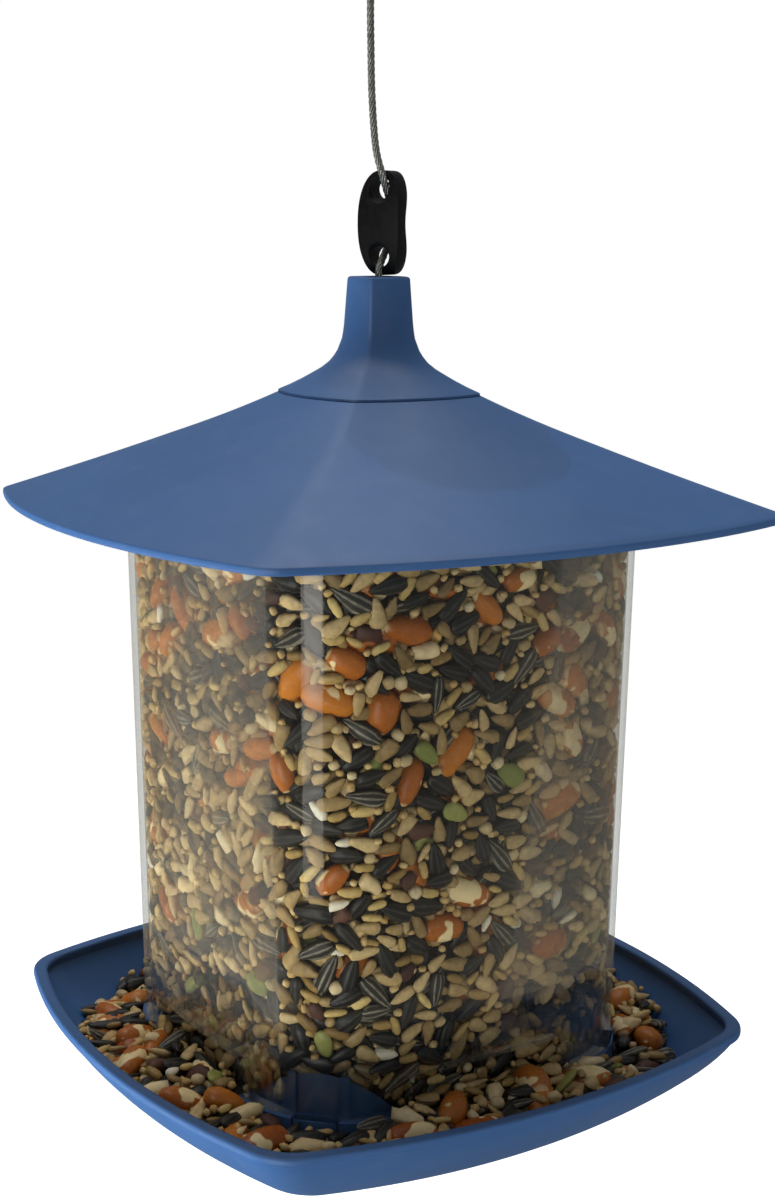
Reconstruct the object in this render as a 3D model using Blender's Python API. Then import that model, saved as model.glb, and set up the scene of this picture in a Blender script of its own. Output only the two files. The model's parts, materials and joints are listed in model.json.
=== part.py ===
"""Hanging bird feeder with a clear seed hopper, a bowed square roof and tray, and a wire hanger.

Units are metres and +Z is up. The world origin is the point where the wire loop hangs on its hook.
The sizes below are heights over the tray's rim, and one empty lowers the whole feeder under the hook.
"""
import math

import bmesh
import bpy
from mathutils import Matrix, Vector

# Overall
HANG_HEIGHT = 0.4200        # the hook's height over the tray's rim
GAP = 0.0003                # air between pieces that touch
SEED_GAP = 0.0005           # air between the seed and the walls round it

# Plan of the roof, the hopper and the tray: a square with bowed sides and round corners
SIDE_STEPS = 3              # steps along half a bowed side
CORNER_STEPS = 5            # steps round a corner

# Roof: half width between flat sides, and height
ROOF_HALF = 0.1100
ROOF_BOW = 2.35             # radius of a bowed side for each unit of half width
ROOF_CORNER = 0.11          # corner radius for each unit of half width
ROOF_WALL = 0.0024
ROOF_RIM_Z = 0.1650         # underside of the rim
ROOF_RIM_BAND = 0.0023      # upright face round the rim
ROOF_SLOPE = (0.40, 0.46, 0.52, 0.60)   # rise for each unit run, rim to centre
ROOF_BREAKS = (0.060, 0.040, 0.028)     # half widths where the slope changes
ROOF_LOOPS = (0.0900, 0.0740, *ROOF_BREAKS, 0.0230)     # half widths of the edge loops
ROOF_HOLE_HALF = 0.0190

# Collar under the roof, which drops into the hopper's mouth
COLLAR_DEPTH = 0.0110       # how far it reaches down past the hopper's top
COLLAR_WALL = 0.0020
COLLAR_CLEARANCE = 0.0006

# Cap on the roof's peak, with the neck that the cable leaves through
CAP_HALF = 0.0290
CAP_STEP = 0.0006           # height of the cap's edge over the roof
CAP_INSET = 0.0008          # depth of the seat in the roof that the cap's edge lies in
NECK_TOP_Z = 0.2400
NECK_HALF = 0.0092
NECK_BOW = 1.62
NECK_CORNER = 0.22
NECK_FLARE = 0.0010         # growth of the neck's half width down its straight part
NECK_STRAIGHT = 0.0150
CAP_WALL = 0.0024
NECK_BORE = 0.0021
NECK_SINK = 0.0045          # radius of the recess round the bore
NECK_SINK_DEPTH = 0.0018
CAP_CHAMFER = 0.0006
CAP_SWEEP = (0.30, 0.47, 0.62, 0.76, 0.88)  # stations down the sweep, for each unit of its drop
CAP_SWEEP_POWER = 2.4       # how late the sweep bends outwards

# Hopper
HOPPER_HALF_TOP = 0.0728
HOPPER_HALF_FOOT = 0.0681
HOPPER_BOW = 6.0
HOPPER_CORNER = 0.55
HOPPER_WALL = 0.0020
LEDGE_Z = -0.0088           # the tray's ledges, where the hopper's legs stand
PORT_HALF = 0.0286          # half length of a feeding port
PORT_TOP_Z = 0.0030
PORT_CORNER = 0.0030
TONGUE_HALF = 0.0070        # half width of the clip tongue under each leg
TONGUE_DEPTH = 0.0040
TONGUE_PLAY = 0.0004

# Tray
TRAY_HALF = 0.1023
TRAY_BOW = 2.56
TRAY_CORNER = 0.168
TRAY_WALL = 0.0024
LIP_WIDTH = 0.0044
LIP_ROUND = 0.0008
LIP_OVERHANG = 0.0011       # how far the lip stands out from the wall
LIP_DROP = 0.0028           # thickness of the lip at its outer edge
TRAY_DEPTH = 0.0290
TRAY_BASE_INSET = 0.0043    # how far the base's edge lies inside the hopper's foot
TRAY_WALL_STEPS = (0.20, 0.42, 0.64, 0.84, 1.0)
TRAY_WALL_BEND = 0.80       # 1 gives a plain quarter of a wave, less a fuller bowl
POCKET_HALF = 0.0150        # recess under the middle that hides the cable's stop
POCKET_DEPTH = 0.0120

# Corner seats in the tray
SEAT_MARGIN = 0.0010        # how far the ledge reaches outside the hopper
SEAT_BACK = 0.0025          # distance of the seat's upright face from the hopper's inner face
SEAT_PEAK_Z = 0.0040        # top of the seat at the corner
SEAT_SLOPE = 1.55           # steepness of the seat's inner slope
RIB_HALF_ANGLE = 14.0       # degrees either side of the corner's diagonal
RIB_WIDTH = 0.0026
RIB_PROUD = 0.0014

# Seed cone in the middle of the tray
CONE_HALF = 0.0400
CONE_TOP_RADIUS = 0.0060
CONE_TOP_Z = 0.0100
CONE_CORNER = 0.60
CONE_BOW = 3.0

# Seed
SEED_TOP_Z = 0.1600
SEED_TOP_ROUND = 0.0040     # how far the heap's top edge falls towards the hopper's wall
SEED_PORT_Z = -0.0030       # heap height at the ports
SEED_RIM_DROP = 0.0090      # heap height at the tray's wall, under the rim
CROWN_PLACE = 0.45            # where the heap outside the hopper is fullest, from hopper to brim
CROWN_FALL = 0.25

# Cable and its fittings
CABLE_RADIUS = 0.0012
CABLE_PLAY = 0.0004
CABLE_RISE = ((-0.0010, 0.0006, 0.2810), (-0.0020, 0.0013, 0.2960), (-0.0024, 0.0015, 0.3110),
              (-0.0025, 0.0016, 0.3300), (-0.0014, 0.0009, 0.3500))   # route over the slider
CABLE_STEP = 0.0022         # spacing of the points along the free cable
FERRULE_RADIUS = 0.0030
FERRULE_LENGTH = 0.0110
TOP_FERRULE_Z = 0.3700      # underside of the upper ferrule
LOOP_HALF_WIDTH = 0.0080
LOOP_LEG = 0.0014           # distance of each leg of the loop from its middle, at the ferrule
LOOP_STEP = 0.0030
WASHER_RADIUS = 0.0080
WASHER_THICKNESS = 0.0012
STOP_RADIUS = 0.0028
STOP_LENGTH = 0.0075

# Cable slider
SLIDER_HEIGHT = 0.0335
SLIDER_WIDTH = 0.0146
SLIDER_THICKNESS = 0.0068
SLIDER_ARCH = 0.0030        # how far the face and back bow out in the middle
SLIDER_WAIST = 0.0014       # how much thinner the back is between its holes
SLIDER_FULLNESS = 2.3       # power of the front outline, where 2 gives a plain oval
SLIDER_HOLE_RADIUS = 0.0033
SLIDER_HOLE_RISE = 0.0108   # distance of each hole from the middle
SLIDER_TURN = -60.0         # degrees, where the slider's face looks, from -Y towards -X
SLIDER_FACE = 0.0020        # distance of the face's ends behind the cable's line
SLIDER_STEPS = 12           # steps up the slider's side outline
HOLE_LEAN = 0.0040          # height that the cable climbs on its way through a hole
CABLE_ASIDE = 0.0013        # how far sideways the cable has moved at the slider's top
GROOVE_STEP = 0.0016

NAVY = (0.020, 0.072, 0.215)
SEED_TAN = (0.30, 0.20, 0.10)


def clear_scene():
    for item in list(bpy.data.objects):
        bpy.data.objects.remove(item, do_unlink=True)
    for group in list(bpy.data.collections):
        bpy.data.collections.remove(group)


def new_collection(name):
    group = bpy.data.collections.new(name)
    bpy.context.scene.collection.children.link(group)
    return group


def make_material(name, colour, roughness, metallic=0.0, alpha=1.0, transmission=0.0):
    material = bpy.data.materials.new(name)
    material.use_nodes = True
    shader = material.node_tree.nodes["Principled BSDF"]
    shader.inputs["Base Color"].default_value = (*colour, 1.0)
    shader.inputs["Roughness"].default_value = roughness
    shader.inputs["Metallic"].default_value = metallic
    shader.inputs["Alpha"].default_value = alpha
    shader.inputs["Transmission Weight"].default_value = transmission
    material.diffuse_color = (*colour, alpha)
    return material


def lerp(low, high, part):
    return low + (high - low) * part


# Plan outlines and lofts

def corner_centre(half, bow, corner):
    """Distance of a corner arc's centre from both axes, where it meets the bowed sides smoothly."""
    radius = bow * half
    shift = radius - half
    reach = radius - corner * half
    return (-shift + math.sqrt(2 * reach ** 2 - shift ** 2)) / 2


def plan_ring(half, height, bow, corner):
    """Points round a square with bowed sides, from the middle of the +X side, anticlockwise."""
    radius = bow * half
    centre = corner_centre(half, bow, corner)
    tangent = math.atan2(centre, centre - (half - radius))
    quarter = []
    for step in range(SIDE_STEPS + 1):
        angle = tangent * step / SIDE_STEPS
        quarter.append((half - radius + radius * math.cos(angle), radius * math.sin(angle)))
    for step in range(1, CORNER_STEPS + 1):
        angle = tangent + (math.pi / 2 - 2 * tangent) * step / CORNER_STEPS
        quarter.append((centre + corner * half * math.cos(angle), centre + corner * half * math.sin(angle)))
    for step in range(1, SIDE_STEPS):
        angle = math.pi / 2 - tangent + tangent * step / SIDE_STEPS
        quarter.append((radius * math.cos(angle), half - radius + radius * math.sin(angle)))
    ring = []
    for turn in range(4):
        spin = Matrix.Rotation(turn * math.pi / 2, 3, "Z")
        ring += [spin @ Vector((x, y, height)) for x, y in quarter]
    return ring


def round_ring(radius, height):
    """A circle with as many points as a plan ring, so that the two can be lofted together."""
    count = 4 * (2 * SIDE_STEPS + CORNER_STEPS)
    angles = [2 * math.pi * index / count for index in range(count)]
    return [Vector((radius * math.cos(angle), radius * math.sin(angle), height)) for angle in angles]


def new_object(name, mesh, group, material=None):
    item = bpy.data.objects.new(name, mesh)
    group.objects.link(item)
    item.parent = FEEDER
    if material:
        mesh.materials.append(material)
    return item


def mesh_from(name, shape):
    bmesh.ops.recalc_face_normals(shape, faces=shape.faces)
    mesh = bpy.data.meshes.new(name)
    shape.to_mesh(mesh)
    shape.free()
    return mesh


def loft(name, rings, group, material=None, closed=False):
    """Skin through rings of equal point count, closed into a tube ring or capped at both ends."""
    shape = bmesh.new()
    rows = [[shape.verts.new(point) for point in ring] for ring in rings]
    count = len(rows[0])
    pairs = list(zip(rows, rows[1:]))
    if closed:
        pairs.append((rows[-1], rows[0]))
    for lower, upper in pairs:
        for index in range(count):
            after = (index + 1) % count
            shape.faces.new((lower[index], lower[after], upper[after], upper[index]))
    if not closed:
        shape.faces.new(rows[0])
        shape.faces.new(rows[-1])
    item = new_object(name, mesh_from(name, shape), group, material)
    smooth(item)
    return item


def smooth(item, angle=32.0):
    item.data.shade_smooth()
    item.data.set_sharp_from_angle(angle=math.radians(angle))


# Cutters and joined shapes

def combine(item, other, operation):
    """Add a Boolean modifier. The other shape stays as a hidden guide."""
    modifier = item.modifiers.new(operation.title() + " " + other.name, "BOOLEAN")
    modifier.operation = operation
    modifier.solver = "EXACT"
    modifier.object = other
    other.hide_render = True
    other.display_type = "WIRE"


def apply_modifiers(item):
    """Replace the item's mesh by its evaluated mesh, so that others can be cut by the result."""
    graph = bpy.context.evaluated_depsgraph_get()
    result = bpy.data.meshes.new_from_object(item.evaluated_get(graph))
    item.modifiers.clear()
    item.data = result
    return item


def box(name, size, centre, group, turn=0.0):
    shape = bmesh.new()
    bmesh.ops.create_cube(shape, size=1.0)
    bmesh.ops.scale(shape, vec=size, verts=shape.verts)
    item = new_object(name, mesh_from(name, shape), group)
    item.location = centre
    item.rotation_euler = (0.0, 0.0, math.radians(turn))
    return item


def bar(name, points, length, group, material=None):
    """A flat outline of points (along X, up), drawn out along Y to both sides."""
    shape = bmesh.new()
    face = shape.faces.new([shape.verts.new((x, -length / 2, z)) for x, z in points])
    pushed = bmesh.ops.extrude_face_region(shape, geom=[face])
    moved = [item for item in pushed["geom"] if isinstance(item, bmesh.types.BMVert)]
    bmesh.ops.translate(shape, verts=moved, vec=(0.0, length, 0.0))
    item = new_object(name, mesh_from(name, shape), group, material)
    smooth(item)
    return item


def cylinder(name, radius, bottom, top, group, centre=(0.0, 0.0), segments=48, material=None):
    shape = bmesh.new()
    bmesh.ops.create_cone(shape, cap_ends=True, segments=segments, radius1=radius, radius2=radius,
                          depth=top - bottom)
    item = new_object(name, mesh_from(name, shape), group, material)
    item.location = (centre[0], centre[1], (top + bottom) / 2)
    smooth(item)
    return item


def tube(name, points, radius, group, material=None):
    """A round wire along the points, with filled caps, as a mesh."""
    curve = bpy.data.curves.new(name, "CURVE")
    curve.dimensions = "3D"
    curve.bevel_depth = radius
    curve.bevel_resolution = 2
    curve.use_fill_caps = True
    spline = curve.splines.new("POLY")
    spline.points.add(len(points) - 1)
    for slot, point in zip(spline.points, points):
        slot.co = (*point, 1.0)
    guide = new_object(name + " route", curve, group)
    bpy.context.view_layer.update()
    mesh = bpy.data.meshes.new_from_object(guide.evaluated_get(bpy.context.evaluated_depsgraph_get()))
    bpy.data.objects.remove(guide, do_unlink=True)
    shape = bmesh.new()
    shape.from_mesh(mesh)
    bmesh.ops.remove_doubles(shape, verts=shape.verts, dist=0.00001)
    item = new_object(name, mesh_from(name, shape), group, material)
    smooth(item)
    return item


def smooth_route(knots, step):
    """Points about one step apart on a smooth curve through the knots."""
    knots = [Vector(knot) for knot in knots]
    ends = [2 * knots[0] - knots[1]] + knots + [2 * knots[-1] - knots[-2]]
    points = []
    for before, start, stop, after in zip(ends, ends[1:], ends[2:], ends[3:]):
        count = max(1, round((stop - start).length / step))
        for index in range(count):
            part = index / count
            points.append(0.5 * (2 * start + (stop - before) * part
                                 + (2 * before - 5 * start + 4 * stop - after) * part ** 2
                                 + (3 * start - before - 3 * stop + after) * part ** 3))
    points.append(knots[-1])
    return points


# Roof

def roof_plan(half, height):
    """Plan ring of the roof and its cap, rounder and more bowed near the neck."""
    part = min(1.0, 2 * (half - NECK_HALF) / (ROOF_HALF - NECK_HALF))
    part = max(0.0, part)
    return plan_ring(half, height, lerp(NECK_BOW, ROOF_BOW, part), lerp(NECK_CORNER, ROOF_CORNER, part))


def roof_height(half):
    """Height of the roof's top face over a given half width, in straight slopes from the rim inwards."""
    height = ROOF_RIM_Z + ROOF_RIM_BAND
    edges = [ROOF_HALF, *ROOF_BREAKS, 0.0]
    for outer, inner, slope in zip(edges, edges[1:], ROOF_SLOPE):
        height += max(0.0, outer - max(inner, half)) * slope
    return height


def build_roof(parts, material):
    rim_round = ROOF_WALL / 4
    halves = [ROOF_HALF - 3 * rim_round, *ROOF_LOOPS, ROOF_HOLE_HALF]
    seat = CAP_HALF + GAP
    under_cap = [half for half in reversed(halves) if half < seat] + [seat]
    rings = [roof_plan(half, roof_height(half) - CAP_INSET) for half in under_cap]
    open_faces = [seat] + [half for half in reversed(halves) if half > seat]
    rings += [roof_plan(half, roof_height(half)) for half in open_faces]
    rings.append(roof_plan(ROOF_HALF - rim_round, ROOF_RIM_Z + ROOF_RIM_BAND - rim_round))
    rings.append(roof_plan(ROOF_HALF, ROOF_RIM_Z + rim_round))
    rings.append(roof_plan(ROOF_HALF - rim_round, ROOF_RIM_Z))
    rings.append(roof_plan(ROOF_HALF - ROOF_WALL, ROOF_RIM_Z))
    rings += [roof_plan(half, roof_height(half) - ROOF_WALL) for half in halves[1:]]
    return loft("roof", rings, parts, material, closed=True)


def build_collar(parts, material):
    outer = HOPPER_HALF_TOP - HOPPER_WALL - COLLAR_CLEARANCE
    inner = outer - COLLAR_WALL
    foot = hopper_top() - COLLAR_DEPTH
    top = under_roof(outer)
    corners = [(outer, foot), (outer, top), (inner, top), (inner, foot)]
    rings = [plan_ring(half, height, HOPPER_BOW, HOPPER_CORNER) for half, height in corners]
    return loft("roof_collar", rings, parts, material, closed=True)


def cap_profile():
    """Half width and height down the cap's outside, from the neck's top to the cap's edge."""
    edge_z = roof_height(CAP_HALF) + CAP_STEP
    straight_end = NECK_TOP_Z - NECK_STRAIGHT
    flared = NECK_HALF + NECK_FLARE
    profile = [(NECK_HALF - CAP_CHAMFER, NECK_TOP_Z), (NECK_HALF, NECK_TOP_Z - CAP_CHAMFER)]
    profile.append((flared, straight_end))
    for part in CAP_SWEEP:
        lean = part ** CAP_SWEEP_POWER
        profile.append((lerp(flared, CAP_HALF, lean), lerp(straight_end, edge_z, part)))
    profile.append((CAP_HALF - CAP_CHAMFER, edge_z + CAP_CHAMFER / 2))
    profile.append((CAP_HALF, edge_z))
    return profile


def build_cap(parts, material):
    profile = cap_profile()
    rings = [roof_plan(half, height) for half, height in profile]
    for half in (CAP_HALF, ROOF_HOLE_HALF - CAP_WALL):
        rings.append(roof_plan(half, roof_height(half) - CAP_INSET + GAP))
    hollow = [(half - CAP_WALL, height - CAP_WALL) for half, height in reversed(profile[2:-4])]
    rings += [roof_plan(half, height) for half, height in hollow]
    roof_of_hollow = NECK_TOP_Z - NECK_SINK_DEPTH - CAP_WALL
    rings.append(roof_plan(NECK_HALF - CAP_WALL, roof_of_hollow))
    rings.append(round_ring(NECK_BORE, roof_of_hollow))
    rings.append(round_ring(NECK_BORE, NECK_TOP_Z - NECK_SINK_DEPTH))
    rings.append(round_ring(NECK_SINK, NECK_TOP_Z - NECK_SINK_DEPTH))
    rings.append(round_ring(NECK_SINK, NECK_TOP_Z))
    return loft("roof_cap", rings, parts, material, closed=True)


# Hopper

def corner_reach(half, bow, corner):
    """Distance from the middle to the outermost point of a corner."""
    return corner_centre(half, bow, corner) * math.sqrt(2) + corner * half


def half_over(point, bow):
    """Half width of the ring with that bow whose side passes through a point."""
    near, far = sorted((abs(point.x), abs(point.y)))
    bend = bow - 1
    lean = bow + bend
    return (far * bend + math.sqrt((far * bend) ** 2 + lean * (far ** 2 + near ** 2))) / lean


def under_roof(half):
    """Just under the roof, where it comes down lowest over a wall with the hopper's outline."""
    edge = plan_ring(half, 0.0, HOPPER_BOW, HOPPER_CORNER)
    widest = max(half_over(point, ROOF_BOW) for point in edge)
    corner = corner_reach(half, HOPPER_BOW, HOPPER_CORNER)
    widest = max(widest, corner / corner_reach(1.0, ROOF_BOW, ROOF_CORNER))
    return roof_height(widest) - ROOF_WALL - GAP


def hopper_top():
    return under_roof(HOPPER_HALF_TOP)


def hopper_half(height):
    """Half width of the hopper's outside, which tapers in towards its feet."""
    part = (height - LEDGE_Z) / (hopper_top() - LEDGE_Z)
    return lerp(HOPPER_HALF_FOOT, HOPPER_HALF_TOP, part)


def hopper_plan(height, inset=0.0):
    """Ring of the hopper's outside, moved in by an inset that keeps the wall even round the corners."""
    half = hopper_half(height)
    inner = half - inset
    bow = (HOPPER_BOW * half - inset) / inner
    corner = (HOPPER_CORNER * half - inset) / inner
    return plan_ring(inner, height, bow, corner)


def corner_frame():
    """Centre distance and outer radius of the hopper's corners at the ledge."""
    half = hopper_half(LEDGE_Z)
    return corner_centre(half, HOPPER_BOW, HOPPER_CORNER), HOPPER_CORNER * half


def port_cutter(name, cutters, turn):
    """A long bar with rounded upper edges that opens the ports on two facing sides."""
    bottom = LEDGE_Z - 3 * TONGUE_DEPTH
    points = [(-PORT_HALF, bottom)]
    steps = 4
    for side, start in ((-1, math.pi), (1, math.pi / 2)):
        for step in range(steps + 1):
            angle = start - math.pi / 2 * step / steps
            points.append((side * (PORT_HALF - PORT_CORNER) + PORT_CORNER * math.cos(angle),
                           PORT_TOP_Z - PORT_CORNER + PORT_CORNER * math.sin(angle)))
    points.append((PORT_HALF, bottom))
    cutter = bar(name, points, 2 * HOPPER_HALF_TOP, cutters)
    cutter.rotation_euler = (0.0, 0.0, math.radians(turn))
    return cutter


def build_hopper(parts, cutters, material):
    foot = LEDGE_Z + GAP - TONGUE_DEPTH
    top = hopper_top()
    levels = [foot, lerp(foot, top, 0.5), top]
    rings = [hopper_plan(height) for height in levels]
    rings += [hopper_plan(height, HOPPER_WALL) for height in reversed(levels)]
    hopper = loft("hopper", rings, parts, material, closed=True)
    leg_end = LEDGE_Z + GAP
    trim = box("leg trim", (4 * HOPPER_HALF_TOP, 4 * HOPPER_HALF_TOP, 2 * TONGUE_DEPTH),
               (0.0, 0.0, leg_end - TONGUE_DEPTH), cutters)
    for turn in (45, 135):
        keep = box(f"tongue keep {turn}", (6 * HOPPER_HALF_TOP, 2 * TONGUE_HALF, 4 * TONGUE_DEPTH),
                   (0.0, 0.0, leg_end - TONGUE_DEPTH), cutters, turn)
        combine(trim, keep, "DIFFERENCE")
    combine(hopper, trim, "DIFFERENCE")
    for turn in (0, 90):
        combine(hopper, port_cutter(f"ports {turn}", cutters, turn), "DIFFERENCE")
    return hopper


# Tray

def tray_ring(half, height):
    return plan_ring(half, height, TRAY_BOW, TRAY_CORNER)


def tray_wall():
    """Half width and height down the outside of the tray's wall, from under the lip to the base."""
    start = (TRAY_HALF - LIP_OVERHANG, -LIP_DROP)
    end = (HOPPER_HALF_FOOT - TRAY_BASE_INSET, -TRAY_DEPTH)
    profile = [start]
    for part in TRAY_WALL_STEPS:
        lean = math.sin(part * math.pi / 2) ** TRAY_WALL_BEND
        profile.append((lerp(start[0], end[0], part), lerp(start[1], end[1], lean)))
    return profile


def floor_z():
    return -TRAY_DEPTH + TRAY_WALL


def inner_wall(extra=0.0):
    """The tray's inside, from the lip to the floor: its outside moved in by the wall and any extra."""
    profile = [Vector(point) for point in tray_wall()]
    inside = []
    for index in range(1, len(profile) - 1):
        along = profile[index + 1] - profile[index - 1]
        normal = Vector((along.y, -along.x)).normalized()
        inside.append(tuple(profile[index] + normal * (TRAY_WALL + extra)))
    inside.append((profile[-1].x, floor_z() + extra))
    return inside


def quarter_drum(name, radius, bottom, top, cutters, margin):
    """The part of a drum at the tray's -X -Y corner that stands clear of the ports by a margin."""
    centre = corner_frame()[0]
    drum = cylinder(name, radius, bottom, top, cutters, (-centre, -centre), segments=64)
    reach = 2 * radius
    middle = -PORT_HALF - margin - reach / 2
    keep = box(name + " quarter", (reach, reach, 4 * (top - bottom)), (middle, middle, bottom), cutters)
    combine(drum, keep, "INTERSECT")
    return drum


def corner_seat(name, cutters, grow=0.0):
    """One seat for a leg: a ledge outside, an upright face behind the leg and a slope to the middle.

    With a growth it is the room that the seed leaves for the seat, right out to the hopper's wall.
    """
    centre, radius = corner_frame()
    bottom = floor_z() - TRAY_WALL / 2 - grow
    ledge = quarter_drum(name + " ledge", radius + SEAT_MARGIN + grow, bottom, LEDGE_Z + grow, cutters,
                         -grow)
    face_radius = radius - HOPPER_WALL - SEAT_BACK
    back_radius = radius if grow else face_radius
    back = quarter_drum(name + " back", back_radius, bottom, SEAT_PEAK_Z + grow, cutters, -grow)
    combine(ledge, back, "UNION")
    if not grow:
        for side in (-1, 1):
            angle = math.radians(225 + side * RIB_HALF_ANGLE)
            reach = face_radius + RIB_PROUD - RIB_WIDTH / 2
            foot = LEDGE_Z - RIB_WIDTH
            rib = box(f"{name} rib {side}", (RIB_WIDTH, RIB_WIDTH, SEAT_PEAK_Z - foot),
                      (-centre + reach * math.cos(angle), -centre + reach * math.sin(angle),
                       (SEAT_PEAK_Z + foot) / 2), cutters, math.degrees(angle))
            combine(ledge, rib, "UNION")
        slot_depth = TONGUE_DEPTH + GAP
        curve_depth = TONGUE_HALF ** 2 / (2 * (radius - HOPPER_WALL))
        slot_width = HOPPER_WALL + curve_depth + 2 * TONGUE_PLAY
        reach = centre * math.sqrt(2) + radius - (HOPPER_WALL + curve_depth) / 2
        slot = box(name + " slot", (slot_width, 2 * (TONGUE_HALF + TONGUE_PLAY), 2 * slot_depth),
                   (-reach / math.sqrt(2), -reach / math.sqrt(2), LEDGE_Z), cutters, 45.0)
        combine(ledge, slot, "DIFFERENCE")
    tilt = math.atan(SEAT_SLOPE)
    run = centre * math.sqrt(2) + face_radius
    size = 5 * radius
    lift = grow * math.sqrt(1 + SEAT_SLOPE ** 2)
    peak = Vector((-run / math.sqrt(2), -run / math.sqrt(2), SEAT_PEAK_Z + lift))
    slope = box(name + " slope", (size, size, size), peak, cutters)
    slope.matrix_local = (Matrix.Translation(peak) @ Matrix.Rotation(math.radians(225), 4, "Z")
                          @ Matrix.Rotation(-tilt, 4, "Y") @ Matrix.Translation((0.0, 0.0, size / 2)))
    combine(ledge, slope, "DIFFERENCE")
    bpy.context.view_layer.update()
    return apply_modifiers(ledge)


def four_corners(name, first, cutters):
    """The first shape and its three turned copies, about the feeder's middle."""
    copies = [first]
    for turn in (90, 180, 270):
        copy = first.copy()
        copy.name = f"{name} {turn}"
        cutters.objects.link(copy)
        copy.matrix_local = Matrix.Rotation(math.radians(turn), 4, "Z") @ first.matrix_local
        copies.append(copy)
    return copies


def build_tray(parts, cutters, material):
    lip_in = TRAY_HALF - LIP_WIDTH
    wall = tray_wall()
    pocket_z = -TRAY_DEPTH + POCKET_DEPTH
    under = [round_ring(NECK_BORE, pocket_z), round_ring(POCKET_HALF, pocket_z),
             round_ring(POCKET_HALF, -TRAY_DEPTH)]
    outside = [tray_ring(half, height) for half, height in reversed(wall)]
    lip = [tray_ring(TRAY_HALF, -LIP_ROUND), tray_ring(TRAY_HALF - LIP_ROUND, 0.0),
           tray_ring(lip_in + LIP_ROUND, 0.0), tray_ring(lip_in, -LIP_ROUND)]
    inside = [tray_ring(half, height) for half, height in inner_wall()]
    boss = POCKET_HALF + TRAY_WALL
    middle = [round_ring(boss, floor_z()), round_ring(boss, pocket_z + TRAY_WALL),
              round_ring(NECK_BORE, pocket_z + TRAY_WALL)]
    tray = loft("tray", under + outside + lip + inside + middle, parts, material, closed=True)
    for seat in four_corners("seat", corner_seat("seat", cutters), cutters):
        combine(tray, seat, "UNION")
    return tray


def build_cone(parts, material):
    base = floor_z() + GAP
    boss_clearance = POCKET_HALF + TRAY_WALL + SEED_GAP
    boss_top = -TRAY_DEPTH + POCKET_DEPTH + TRAY_WALL + GAP
    skin = TRAY_WALL
    rings = [plan_ring(CONE_HALF, base, CONE_BOW, CONE_CORNER),
             plan_ring(CONE_HALF, base + skin / 2, CONE_BOW, CONE_CORNER),
             round_ring(CONE_TOP_RADIUS, CONE_TOP_Z - skin / 2),
             round_ring(CONE_TOP_RADIUS - skin / 2, CONE_TOP_Z),
             round_ring(CABLE_RADIUS + CABLE_PLAY, CONE_TOP_Z),
             round_ring(CABLE_RADIUS + CABLE_PLAY, boss_top),
             round_ring(boss_clearance, boss_top),
             round_ring(boss_clearance, base)]
    return loft("seed_cone", rings, parts, material, closed=True)


# Seed

def build_hopper_seed(parts, cutters, material):
    inset = HOPPER_WALL + SEED_GAP
    base = floor_z() + SEED_GAP
    floor_half = inner_wall()[-1][0]
    rings = [hopper_plan(base, hopper_half(base) - floor_half)]
    levels = [base + TRAY_WALL, 0.0, lerp(0.0, SEED_TOP_Z, 0.5), SEED_TOP_Z - SEED_TOP_ROUND]
    rings += [hopper_plan(height, inset) for height in levels]
    rings.append(hopper_plan(SEED_TOP_Z, inset + 2 * SEED_TOP_ROUND))
    seed = loft("hopper_seed", rings, parts, material)
    for seat in four_corners("seat room", corner_seat("seat room", cutters, SEED_GAP), cutters):
        combine(seed, seat, "DIFFERENCE")
    skin = TRAY_WALL / 2
    room = [plan_ring(CONE_HALF + SEED_GAP, base - skin, CONE_BOW, CONE_CORNER),
            plan_ring(CONE_HALF + SEED_GAP, base + skin + SEED_GAP, CONE_BOW, CONE_CORNER),
            round_ring(CONE_TOP_RADIUS + SEED_GAP, CONE_TOP_Z - skin + SEED_GAP),
            round_ring(CONE_TOP_RADIUS + SEED_GAP, CONE_TOP_Z + SEED_GAP)]
    combine(seed, loft("cone room", room, cutters), "DIFFERENCE")
    bore = cylinder("cable room", CABLE_RADIUS + SEED_GAP, 0.0, 2 * SEED_TOP_Z, cutters, segments=16)
    combine(seed, bore, "DIFFERENCE")
    return seed


def build_tray_seed(parts, cutters, material):
    inner = hopper_half(LEDGE_Z) - HOPPER_WALL + SEED_GAP
    foot = plan_ring(inner, 0.0, HOPPER_BOW, HOPPER_CORNER)
    clear = max(half_over(point, TRAY_BOW) for point in foot) + SEED_GAP
    edge = [point for point in inner_wall(SEED_GAP) if point[0] > clear]
    lip_in = TRAY_HALF - LIP_WIDTH - SEED_GAP
    brim = (lerp(lip_in, edge[0][0], SEED_RIM_DROP / -edge[0][1]), -SEED_RIM_DROP)
    crown = (lerp(inner, brim[0], CROWN_PLACE), lerp(SEED_PORT_Z, brim[1], CROWN_FALL))
    rings = [plan_ring(inner, height, HOPPER_BOW, HOPPER_CORNER) for height in (edge[-1][1], SEED_PORT_Z)]
    rings += [tray_ring(half, height) for half, height in (crown, brim, *edge)]
    seed = loft("tray_seed", rings, parts, material, closed=True)
    reach = corner_frame()[1] + SEAT_MARGIN + SEED_GAP
    drum = quarter_drum("leg room", reach, -2 * TRAY_DEPTH, TRAY_DEPTH, cutters, -SEED_GAP)
    bpy.context.view_layer.update()
    for room in four_corners("leg room", apply_modifiers(drum), cutters):
        combine(seed, room, "DIFFERENCE")
    return seed


# Cable slider and cable

def slider_point(out, up, aside=0.0):
    """A point by the slider: out of its face, up from its middle, and aside along its width."""
    angle = math.radians(SLIDER_TURN)
    middle = NECK_TOP_Z + GAP + SLIDER_HEIGHT / 2
    across = Vector((math.cos(angle), math.sin(angle), 0.0))
    return Vector((out * math.sin(angle), -out * math.cos(angle), middle + up)) + aside * across


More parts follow.
